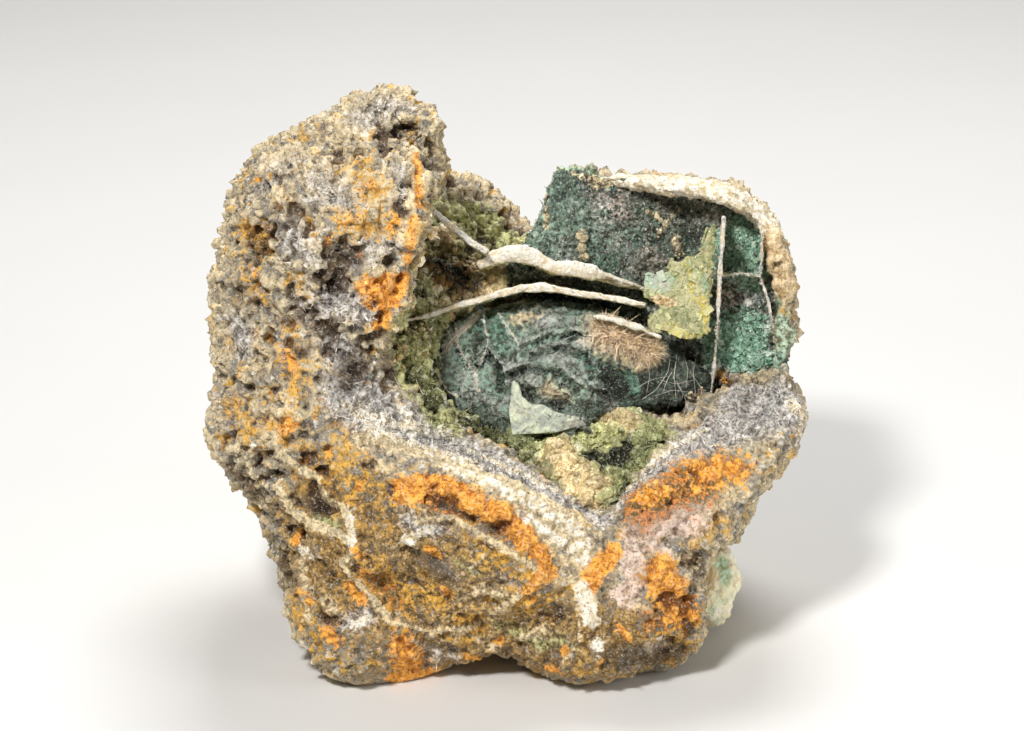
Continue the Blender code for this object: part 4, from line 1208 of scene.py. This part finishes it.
def scattered(name, ground, build, count, weight, size, chance, spread=0.35, shape=(1, 1, 1),
              lean=None, sink=0.1, carry=()):
    """Copies of a small shape on the ground, more of them where the weight is high, as one mesh.

    size is the middle size in mm and spread its variation. With a lean the copies stand up along
    the surface's normals, and otherwise they lie any way. sink is how deep they sit, in sizes.
    The copies take the fields named in carry from the ground.
    """
    corners, faces = template(build)
    tri = ground.triangles
    a, b, c = (ground.at[tri[:, k]] for k in range(3))
    area = np.linalg.norm(np.cross(b - a, c - a), axis=1) / 2
    share = np.cumsum(area * weight[tri].mean(axis=1))
    if share[-1] <= 0:
        raise RuntimeError(f"{name}: nothing to scatter on")
    picked = np.searchsorted(share, chance.uniform(0, share[-1], count))
    picked = np.minimum(picked, len(tri) - 1)
    u, v = chance.uniform(size=(2, count))
    fold = u + v > 1
    u[fold], v[fold] = 1 - u[fold], 1 - v[fold]
    shares = np.stack([1 - u - v, u, v], axis=1)

    def between_corners(values):
        return (values[tri[picked]] * shares).sum(axis=1)

    spots = (ground.at[tri[picked]] * shares[:, :, None]).sum(axis=1)
    up = (ground.normals[tri[picked]] * shares[:, :, None]).sum(axis=1)
    up /= np.linalg.norm(up, axis=1, keepdims=True) + 1e-9
    scale = size * np.exp(chance.normal(size=count) * spread)
    uneven = 1 + chance.uniform(-GRAIN_UNEVEN, GRAIN_UNEVEN, size=(count, 3))
    shapes = np.array(shape) * uneven
    turn = turned(chance, count) if lean is None else upright(chance, up, lean)
    local = corners[None] * (shapes * scale[:, None])[:, None, :]
    spots = spots - up * (scale * sink)[:, None]
    world = spots[:, None, :] + np.einsum("nij,nkj->nki", turn, local)
    triangles = faces[None] + (np.arange(count) * len(corners))[:, None, None]
    obj = joined(name, world.reshape(-1, 3), triangles.reshape(-1, 3))
    for key in carry:
        set_field(obj, key, np.repeat(between_corners(ground.field(key)), len(corners)))
    # The corners' rise above the foot gives each grain painted shade at its foot and highlight at its
    # tip.
    lift = np.einsum("nkj,nj->nk", world - spots[:, None, :], up)
    base = between_corners(ground.field("height"))
    set_field(obj, "height", (base[:, None] + lift * GRAIN_SHADE_LIFT).ravel())
    set_field(obj, "tone", np.repeat(chance.uniform(size=count), len(corners)))
    return obj


def chance(offset):
    return np.random.default_rng(sizes().seed * 100 + offset)


# The septa: node, shade, swell and relief strokes.
SEPTA = [
    ("upper_septum", "cream", 0.05, RIB_RELIEF),
    ("lower_septum", "cream", -0.03, []),
    ("short_septum", "cream", -0.08, []),
    ("hollow_septum", "grey", -0.08, []),
    ("cell_septa", "grey", -0.1, []),
]
# Kinds of grain: shape, number, middle size, start of the random draws, and what else is set.
# The gossan's chips and nodules have their size as a share of the panel's grain.
GRAINS = {
    "front_chips": (chip, 22000, 0.74, 31, {"sink": 0.46}),
    "back_chips": (chip, 20000, 0.8, 32, {"sink": 0.46}),
    "front_nodules": (nodule, 1000, 1.0, 33, {"sink": 0.4}),
    "back_nodules": (nodule, 1200, 1.1, 34, {"sink": 0.4}),
    "lip_fibres": (needle, 7000, 0.42, 35, {"shape": (0.16, 0.16, 1.0), "lean": 1.8, "sink": 0.0}),
    "slab_chips": (chip, 11000, 0.24, 41, {}),
    "slab_needles": (needle, 3500, 0.36, 42, {"shape": (0.2, 0.2, 1.0), "lean": 1.3}),
    "cell_druse": (chip, 3200, 0.42, 43, {"shape": (0.7, 0.7, 1.3), "lean": 0.8}),
    "slab_rim": (nodule, 1200, 0.3, 44, {"sink": 0.3}),
    "dome_chips": (chip, 4500, 0.14, 51, {"sink": 0.25}),
    "dome_needles": (needle, 3200, 0.42, 52, {"shape": (0.12, 0.12, 1.0), "lean": 1.8}),
    "brown_needles": (needle, 2800, 0.56, 53,
                      {"shape": (0.14, 0.14, 1.0), "lean": 1.0, "sink": 0.05}),
    "druse_crystals": (cube_crystal, 3600, 0.38, 61, {}),
    "peach_nodules": (nodule, 900, 0.78, 62, {"spread": 0.25, "sink": -0.05}),
    "sage_fibres": (needle, 3600, 0.6, 63, {"shape": (0.12, 0.12, 1.0), "lean": 1.2}),
    "hollow_lumps": (nodule, 900, 0.62, 64, {"spread": 0.3, "sink": -0.05}),
    "hollow_grains": (nodule, 1500, 0.34, 65, {"sink": 0.1}),
    "blade_plates": (cube_crystal, 220, 0.5, 81,
                     {"spread": 0.4, "shape": (1.0, 0.6, 0.2), "lean": 0.05, "sink": -0.06}),
    **{f"{row[0]}_fuzz": (chip, 1600, 0.13, 70 + k, {"sink": 0.3}) for k, row in enumerate(SEPTA)},
}


def strewn(name, ground, weight, surface, carry=(), unit=1.0):
    """Scatter one kind of grain where the weight is high, and finish it."""
    build, count, size, start, settings = GRAINS[name]
    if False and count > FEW_GRAINS:
        count = int(count * QUICK_SHARE)
    piece = scattered(name, ground, build, count, weight, size * unit, chance(start), carry=carry,
                      **settings)
    finished(piece, surface)


# The pieces.

# How well a zone has to cover a place before its own grains grow there, and the hollow's druse.
LEAST_COVER = {
    "grey": 0.35, "teal": 0.25, "cream": 0.3, "dark": 0.2, "brown": 0.66, "peach": 0.3, "green": 0.25,
}
LEAST_DRUSE = 0.3
# The tone of a skin, in the middle of its grains' tones.
MIDDLE_TONE = 0.5
# Start of the draws for the unseen ridges and hollows, and of those for the first unseen zone.
RIDGE_START, ZONE_START = 1, 10
# Sharpness of the border between the seen and the unseen side, and what still counts as facing.
AWAY_SHARPNESS = 3
FACING_MARGIN = 0.35


def set_tone(obj):
    set_field(obj, "tone", np.full(len(obj.data.vertices), MIDDLE_TONE))


def paint_zones(obj, ground, zones, unseen=False):
    """Keep how well each coloured zone covers each vertex of the ground."""
    away = np.clip(ground.normals @ np.array(EYE_FORWARD) * AWAY_SHARPNESS, 0, 1)
    for k, (zone, strokes) in enumerate(zones.items()):
        cover = covered(ground.at, placed(ground, strokes))
        if unseen and zone in UNSEEN_STROKES:
            spots = unseen_strokes(ground, *UNSEEN_STROKES[zone], chance(ZONE_START + k))
            cover = np.maximum(cover, covered(ground.at, spots) * away)
        set_field(obj, zone, cover)
    set_tone(obj)


def shaped(piece, strokes):
    """Raise and sink the piece along strokes."""
    ground = Ground(piece)
    spots = placed(ground, strokes)
    for sign, group in ((1, "raised"), (-1, "sunk")):
        chosen = [(radius, abs(height) / 2, at) for radius, height, at in spots if height * sign > 0]
        if chosen:
            set_group(piece, group, covered(ground.at, chosen))
            pushed(piece, group, sign * 2.0)


def facing_eye(ground):
    """How much each vertex faces the camera, from 0 to 1."""
    return np.clip(FACING_MARGIN - ground.normals @ np.array(EYE_FORWARD), 0, 1)


def keep_height(piece, before):
    """Keep how far each vertex has risen, in mm, since the surface was this ground."""
    set_field(piece, "height", ((places(piece) - before.at) * before.normals).sum(axis=1))


# Layers of texture that more than one skin has, and the middle level of the pits' texture.
PITS = {"middle": 0.42}
FINE_GRAIN = [("VORONOI", 0.45, -0.25, PITS), ("CLOUDS", 0.22, 0.16, {})]
RIB_LAYERS = [
    ("CLOUDS", 2.4, 0.45, {}), ("CLOUDS", 0.9, 0.25, {}), ("CLOUDS", 0.3, 0.12, {"noise_depth": 2}),
]
# The vug's skins: name, cell, rounds of smoothing, swell, relief strokes and layers of texture.
VUG_SKINS = {
    "malachite_slab": ("slab_skin", 0.15, 4, 0.18, SLAB_RELIEF, [
        ("CLOUDS", 1.8, 0.8, {"noise_depth": 2}), ("VORONOI", 1.0, -0.35, PITS), *FINE_GRAIN,
    ]),
    "malachite_dome": ("dome_skin", 0.14, 4, 0.15, DOME_RELIEF, [
        ("CLOUDS", 2.6, 1.1, {"noise_depth": 1}), ("VORONOI", 1.1, -0.3, PITS), *FINE_GRAIN,
    ]),
    "vug_crust": ("crust_skin", 0.16, 3, 0.0, CRUST_RELIEF, [
        ("CLOUDS", 1.6, 1.0, {"noise_depth": 2}), ("VORONOI", 0.9, -0.8, PITS),
        ("CLOUDS", 0.25, 0.2, {}),
    ]),
    **{
        node: (f"{node}_skin", 0.12, 3, swell, strokes, RIB_LAYERS)
        for node, _, swell, strokes in SEPTA
    },
    "chlorargyrite_blade": ("blade_skin", 0.11, 2, 0.0, [], [
        ("CLOUDS", 1.1, 0.3, {"noise_depth": 2}), ("VORONOI", 0.5, -0.12, PITS),
    ]),
    "pale_flake": ("flake_skin", 0.1, 2, 0.0, [], [("CLOUDS", 1.4, 0.2, {"noise_depth": 1})]),
    "malachite_knob": ("knob_skin", 0.14, 4, 0.15, [], [
        ("VORONOI", 0.9, -0.4, PITS), ("CLOUDS", 0.3, 0.15, {}),
    ]),
}


def vug_skin(node):
    """The fine skin of one of the vug's nodes, and the smooth ground that its relief rose from."""
    name, cell, rounds, swell, strokes, layers = VUG_SKINS[node]
    skin = copied(node, name)
    remeshed(skin, cell * MM)
    smoothed(skin, rounds)
    if swell:
        swollen(skin, swell)
    before = Ground(skin)
    if strokes:
        shaped(skin, strokes)
    grained(skin, layers)
    return skin, before


# Relief of the matrix's skin, in the order in which it is made.
MATRIX_ROUNDS = 8
MATRIX_LUMPS = [
    ("CLOUDS", 4.5, 1.5, {"group": "coarse", "noise_depth": 1}),
    ("CLOUDS", 2.0, 1.1, {"group": "coarse", "noise_depth": 2}),
]
HOLLOW_DEPTH = 1.1
MATRIX_KNOBS = [
    ("VORONOI", 1.3, -0.55, {**PITS, "group": "coarse"}),
    ("CLOUDS", 0.8, 0.65,
     {"middle": 1.0, "group": "coarse", "noise_depth": 1, "contrast": 3.0, "intensity": 1.52}),
]
RIDGE_HEIGHT = 0.8
MATRIX_GRAIN = [
    ("VORONOI", 0.6, -0.4, {**PITS, "group": "all"}),
    ("CLOUDS", 0.33, 0.3, {"group": "all", "noise_depth": 2}),
]
# Below the first height the relief fades out, down to the ground. Grains are set above the second.
FEET_HEIGHT, GRAINS_FROM = 1.2, 0.6
# Where the gossan turns spongy, upwards, to the left and to the back: start and fade.
SPONGY_UP, SPONGY_LEFT, SPONGY_BACK = (14, 10), (12, 5), (4, 12)
# How bare the rim is of grains, in front and at the back, and how fast the lip sheds nodules.
BARE_FRONT, BARE_BACK = 0.95, 0.97
LIP_BARE = 1.5
# Above this share of the front's grains, a place gets none of the back's.
BACK_UNTIL = 0.9
# The cells right of this X are lined with druse.
CELLS_FROM = 15.0
# How much the lip, the slab's rim and the ridges calm the coarse relief.
LIP_CALM, RIM_CALM, LEAST_RELIEF = 0.7, 0.85, 0.4


def spongy_share(at):
    """How spongy the gossan is at each place, from 0 to 1."""
    x, y, z = at.T
    ways = ((z, SPONGY_UP), (-x, SPONGY_LEFT), (y, SPONGY_BACK))
    return np.clip(np.max([(way - start) / fade for way, (start, fade) in ways], axis=0), 0, 1)


def matrix_groups(skin, base):
    """Keep how strongly each kind of relief acts on the matrix's skin."""
    at = base.at
    unseen = chance(RIDGE_START)
    lip = covered(at, placed(base, LIP_STROKES))
    ridges = placed(base, RIDGES) + unseen_strokes(base, *UNSEEN_RIDGES, unseen)
    hollows = placed(base, HOLLOWS) + unseen_strokes(base, *UNSEEN_HOLLOWS, unseen)
    off_feet = np.clip(at[:, 2] / FEET_HEIGHT, 0, 1)
    rim = np.clip(covered(at, placed(base, RIM)), 0, 1)
    crest = covered(at, ridges)
    calm = (1 - LIP_CALM * lip) * (1 - RIM_CALM * rim) * np.clip(1 - crest, LEAST_RELIEF, 1)
    set_group(skin, "coarse", (0.5 + 0.5 * spongy_share(at)) * calm * off_feet)
    set_group(skin, "all", off_feet)
    set_group(skin, "ridge", crest * off_feet)
    set_group(skin, "hollow", covered(at, hollows) * off_feet)
    return rim


def matrix_skin():
    """The matrix's skin, with fewer triangles where the camera doesn't see it."""
    skin = copied("matrix", "matrix_skin")
    remeshed(skin, sizes().skin_voxel * (1.0))
    smoothed(skin, MATRIX_ROUNDS)
    base = Ground(skin)
    rim = matrix_groups(skin, base)
    grained(skin, MATRIX_LUMPS)
    pushed(skin, "hollow", -HOLLOW_DEPTH)
    grained(skin, MATRIX_KNOBS)
    pushed(skin, "ridge", RIDGE_HEIGHT)
    grained(skin, MATRIX_GRAIN)
    keep_height(skin, base)
    set_field(skin, "rim", rim)
    set_group(skin, "plain", np.clip(1 - facing_eye(base), 0, 1))
    kept = sizes().skin_triangles / len(skin.data.polygons) / 2
    if kept < 1:
        modified(skin, "DECIMATE", ratio=kept, vertex_group="plain")
    return skin


class SPECIMEN_OT_matrix(bpy.types.Operator):
    """Give the gossan its skin of lumps, pits, ridges and coloured zones"""

    bl_idname = "specimen.matrix"
    bl_label = "Matrix"

    def execute(self, context):
        skin = matrix_skin()
        paint_zones(skin, Ground(skin), COLOUR_STROKES, unseen=True)
        finished(skin, gossan_surface(), "matrix")
        return {"FINISHED"}


class SPECIMEN_OT_matrix_grains(bpy.types.Operator):
    """Scatter chips, nodules and the lip's short fibres over the gossan"""

    bl_idname = "specimen.matrix_grains"
    bl_label = "Matrix grains"

    def execute(self, context):
        skin = bpy.data.objects["matrix_skin"]
        ground = Ground(skin)
        gossan = skin.data.materials[0]
        grain = sizes().grain / MM
        high = ground.at[:, 2] > GRAINS_FROM
        rim = ground.field("rim")
        front = facing_eye(ground) * high * (1 - BARE_FRONT * rim)
        back = np.clip(BACK_UNTIL - front, 0, 1) * high * (1 - BARE_BACK * rim)
        lip = ground.past("grey")
        coarse = front * np.clip(1 - LIP_BARE * lip, 0, 1)
        for name, weight, unit in (
            ("front_chips", front, grain),
            ("back_chips", back, grain),
            ("front_nodules", coarse, grain),
            ("back_nodules", back, grain),
            ("lip_fibres", lip * front, 1.0),
        ):
            strewn(name, ground, weight, gossan, tuple(COLOUR_STROKES), unit)
        return {"FINISHED"}


class SPECIMEN_OT_slab(bpy.types.Operator):
    """Make the malachite slab at the back of the vug, with its crust and druse"""

    bl_idname = "specimen.slab"
    bl_label = "Malachite slab"

    def execute(self, context):
        slab, before = vug_skin("malachite_slab")
        keep_height(slab, before)
        ground = Ground(slab)
        paint_zones(slab, ground, SLAB_STROKES)
        surface = slab_surface()
        finished(slab, surface, "malachite_slab")
        front = facing_eye(ground)
        teal = ground.past("teal") * front
        right_cells = teal * (ground.at[:, 0] > CELLS_FROM)
        for name, weight, look in (
            ("slab_chips", front + 0.1, surface),
            ("slab_needles", front * 0.4 + teal, surface),
            ("cell_druse", right_cells, cell_druse_surface()),
            ("slab_rim", ground.past("cream"), surface),
        ):
            strewn(name, ground, weight, look, tuple(SLAB_STROKES))
        return {"FINISHED"}


class SPECIMEN_OT_dome(bpy.types.Operator):
    """Make the malachite dome, with its ridges, fuzz and tan needles"""

    bl_idname = "specimen.dome"
    bl_label = "Malachite dome"

    def execute(self, context):
        dome, before = vug_skin("malachite_dome")
        keep_height(dome, before)
        ground = Ground(dome)
        paint_zones(dome, ground, DOME_STROKES)
        surface = dome_surface()
        finished(dome, surface, "malachite_dome")
        front = facing_eye(ground)
        for name, weight, look in (
            ("dome_chips", front + 0.05, surface),
            ("dome_needles", front * 0.12 + ground.past("dark") * front, surface),
            ("brown_needles", ground.past("brown") * front, tan_needle_surface()),
        ):
            strewn(name, ground, weight, look, tuple(DOME_STROKES))
        return {"FINISHED"}


class SPECIMEN_OT_crust(bpy.types.Operator):
    """Line the vug with its olive, peach and tan druse"""

    bl_idname = "specimen.crust"
    bl_label = "Vug crust"

    def execute(self, context):
        crust, before = vug_skin("vug_crust")
        keep_height(crust, before)
        ground = Ground(crust)
        paint_zones(crust, ground, CRUST_STROKES)
        surface = olive_druse_surface()
        finished(crust, surface, "vug_crust")
        front = facing_eye(ground) + 0.1
        light = np.clip(1 - ground.field("dark"), 0.05, 1) * front
        for name, weight in (
            ("druse_crystals", light),
            ("peach_nodules", ground.past("peach") * front),
            ("sage_fibres", ground.past("green") * front + 0.1 * light),
        ):
            strewn(name, ground, weight, surface, tuple(CRUST_STROKES))
        both = Ground(crust, bpy.data.objects["matrix_skin"])
        bright, dull = (
            np.clip(covered(both.at, placed(both, strokes)) - LEAST_DRUSE, 0, 1)
            for strokes in (HOLLOW_DRUSE, SHADE_DRUSE)
        )
        tan = tan_druse_surface()
        strewn("hollow_lumps", both, bright, tan)
        strewn("hollow_grains", both, bright + dull * 0.8, tan)
        return {"FINISHED"}


# A septum's underside, what faces away from this direction up to a margin, is painted olive as shade.
UP_AND_FORWARD = (0.0, -0.5, 1.0)
SHADED_UNDER_MARGIN = 0.3


class SPECIMEN_OT_septa(bpy.types.Operator):
    """Coat the thin septa"""

    bl_idname = "specimen.septa"
    bl_label = "Septa"

    def execute(self, context):
        surfaces = {"cream": cream_septum_surface(), "grey": grey_septum_surface()}
        for node, shade, _, _ in SEPTA:
            surface, slot = surfaces[shade], f"{shade}_septum"
            wall, before = vug_skin(node)
            keep_height(wall, before)
            # Painted shade: the under field grows where the wall faces down and back.
            underside_shade = SHADED_UNDER_MARGIN - normals(wall) @ np.array(UP_AND_FORWARD)
            set_field(wall, "under", np.clip(underside_shade, 0, 1))
            set_tone(wall)
            finished(wall, surface, node)
            ground = Ground(wall)
            strewn(f"{node}_fuzz", ground, facing_eye(ground) + 0.05, surface, ("under",))
        return {"FINISHED"}


class SPECIMEN_OT_blade(bpy.types.Operator):
    """Make the chlorargyrite blade and the pale flake"""

    bl_idname = "specimen.blade"
    bl_label = "Blade and flake"

    def execute(self, context):
        blade, smooth = vug_skin("chlorargyrite_blade")
        paint_zones(blade, smooth, BLADE_STROKES)
        surface = blade_surface()
        finished(blade, surface, "chlorargyrite_blade")
        strewn("blade_plates", smooth, facing_eye(smooth), surface,
               tuple(BLADE_STROKES))
        flake, _ = vug_skin("pale_flake")
        set_tone(flake)
        finished(flake, flake_surface(), "pale_flake")
        return {"FINISHED"}


class SPECIMEN_OT_knob(bpy.types.Operator):
    """Make the pale green knob low on the right"""

    bl_idname = "specimen.knob"
    bl_label = "Malachite knob"

    def execute(self, context):
        knob, _ = vug_skin("malachite_knob")
        paint_zones(knob, Ground(knob), KNOB_STROKES)
        finished(knob, knob_surface(), "malachite_knob")
        return {"FINISHED"}


# A fibre's cross section has this many corners. Its path is read at this many pixels a step.
FIBRE_SIDES = 4
FIBRE_STEP = 3.0


def fibre(ground, radius, rise, path):
    """The corners of one fibre that rises off the ground in its middle, as rings along its path."""
    points = ground.under(path, FIBRE_STEP)
    if len(points) < 3:
        return []
    lift = np.sin(np.linspace(0, math.pi, len(points)))[:, None] * rise
    points = points - np.array(EYE_FORWARD) * lift
    points[1:-1] = (points[:-2] + points[1:-1] * 2 + points[2:]) / 4
    angles = [k * math.tau / FIBRE_SIDES for k in range(FIBRE_SIDES)]
    corners = []
    for k, point in enumerate(points):
        along = Vector(points[min(k + 1, len(points) - 1)] - points[max(k - 1, 0)]).normalized()
        side = along.cross(EYE_FORWARD).normalized()
        other = along.cross(side)
        for angle in angles:
            across, up = math.cos(angle) * radius, math.sin(angle) * radius
            corners.append(Vector(point) + side * across + other * up)
    return corners


def fibre_faces(start, count):
    """The triangles of a four-sided fibre whose corners are numbered from start, its ends closed."""
    last = start + count - FIBRE_SIDES
    faces = []
    for ring in range(start, last, FIBRE_SIDES):
        for j in range(FIBRE_SIDES):
            a, b = ring + j, ring + (j + 1) % FIBRE_SIDES
            faces += [(a, b, b + FIBRE_SIDES), (a, b + FIBRE_SIDES, a + FIBRE_SIDES)]
    faces += [(start, start + 2, start + 1), (start, start + 3, start + 2)]
    return faces + [(last, last + 1, last + 2), (last, last + 2, last + 3)]


class SPECIMEN_OT_fibres(bpy.types.Operator):
    """Stretch fine white fibres over the dome's two ends"""

    bl_idname = "specimen.fibres"
    bl_label = "Fibres"

    def execute(self, context):
        names = ("dome_skin", "slab_skin", "crust_skin", "matrix_skin")
        ground = Ground(*(bpy.data.objects[name] for name in names))
        corners, faces = [], []
        for radius, rise, path in FIBRES:
            made = fibre(ground, radius, rise, path)
            if made:
                faces += fibre_faces(len(corners), len(made))
                corners += made
        piece = joined("white_fibres", np.array([corner[:] for corner in corners]), np.array(faces))
        set_tone(piece)
        finished(piece, fibre_surface())
        return {"FINISHED"}


def aimed(name, data, place, direction):
    """An object at this place in mm that looks along a direction."""
    holder = bpy.data.objects.new(name, data)
    bpy.context.scene.collection.objects.link(holder)
    holder.location = place * MM
    holder.rotation_mode = "QUATERNION"
    holder.rotation_quaternion = direction.to_track_quat("-Z", "Y")
    return holder


class SPECIMEN_OT_stage(bpy.types.Operator):
    """Set the pale floor, the soft lights and the camera"""

    bl_idname = "specimen.stage"
    bl_label = "Stage"

    def execute(self, context):
        scene = context.scene
        bpy.ops.object.select_all(action="DESELECT")
        bpy.ops.mesh.primitive_plane_add(size=FLOOR_SIZE, location=(0, 0, 0))
        floor = context.object
        floor.name = "floor"
        floor.data.materials.append(floor_surface())
        camera = bpy.data.cameras.new("camera")
        camera.sensor_width = SENSOR
        camera.lens = LENS
        camera.clip_start, camera.clip_end = CLIP_START, CLIP_END
        scene.camera = aimed("camera", camera, EYE, EYE_FORWARD)
        for name, place, size, power in LIGHTS:
            lamp = bpy.data.lights.new(name, "AREA")
            lamp.size = size * MM
            lamp.energy = power
            aimed(name, lamp, Vector(place), EYE_TARGET - Vector(place))
        world = bpy.data.worlds.new("studio")
        world.use_nodes = True
        background = world.node_tree.nodes["Background"].inputs
        background["Color"].default_value = WORLD_COLOUR
        background["Strength"].default_value = WORLD_STRENGTH
        scene.world = world
        scene.view_settings.view_transform = "Standard"
        return {"FINISHED"}


OPERATORS = [
    SPECIMEN_OT_stage, SPECIMEN_OT_matrix, SPECIMEN_OT_matrix_grains, SPECIMEN_OT_slab, SPECIMEN_OT_dome,
    SPECIMEN_OT_crust, SPECIMEN_OT_septa, SPECIMEN_OT_blade, SPECIMEN_OT_knob, SPECIMEN_OT_fibres,
]


class SPECIMEN_PT_panel(bpy.types.Panel):
    """The pieces of the specimen, in the order in which they are built"""

    bl_idname = "SPECIMEN_PT_panel"
    bl_label = "Specimen"
    bl_space_type = "VIEW_3D"
    bl_region_type = "UI"
    bl_category = "Specimen"

    def draw(self, context):
        for operator in OPERATORS:
            self.layout.operator(operator.bl_idname)
        for group in (context.scene.specimen_sizes, context.scene.specimen_colours):
            box = self.layout.box()
            for key in group.bl_rna.properties.keys():
                if key not in ("rna_type", "name"):
                    box.prop(group, key)


CLASSES = [SpecimenColours, SpecimenSizes, *OPERATORS, SPECIMEN_PT_panel]


def register():
    for item in CLASSES:
        bpy.utils.register_class(item)
    bpy.types.Scene.specimen_colours = bpy.props.PointerProperty(type=SpecimenColours)
    bpy.types.Scene.specimen_sizes = bpy.props.PointerProperty(type=SpecimenSizes)


def unregister():
    del bpy.types.Scene.specimen_sizes
    del bpy.types.Scene.specimen_colours
    for item in reversed(CLASSES):
        bpy.utils.unregister_class(item)


def main():
    register()
    for operator in OPERATORS:
        group, name = operator.bl_idname.split(".")
        getattr(getattr(bpy.ops, group), name)()


if __name__ == "__main__":
    main()
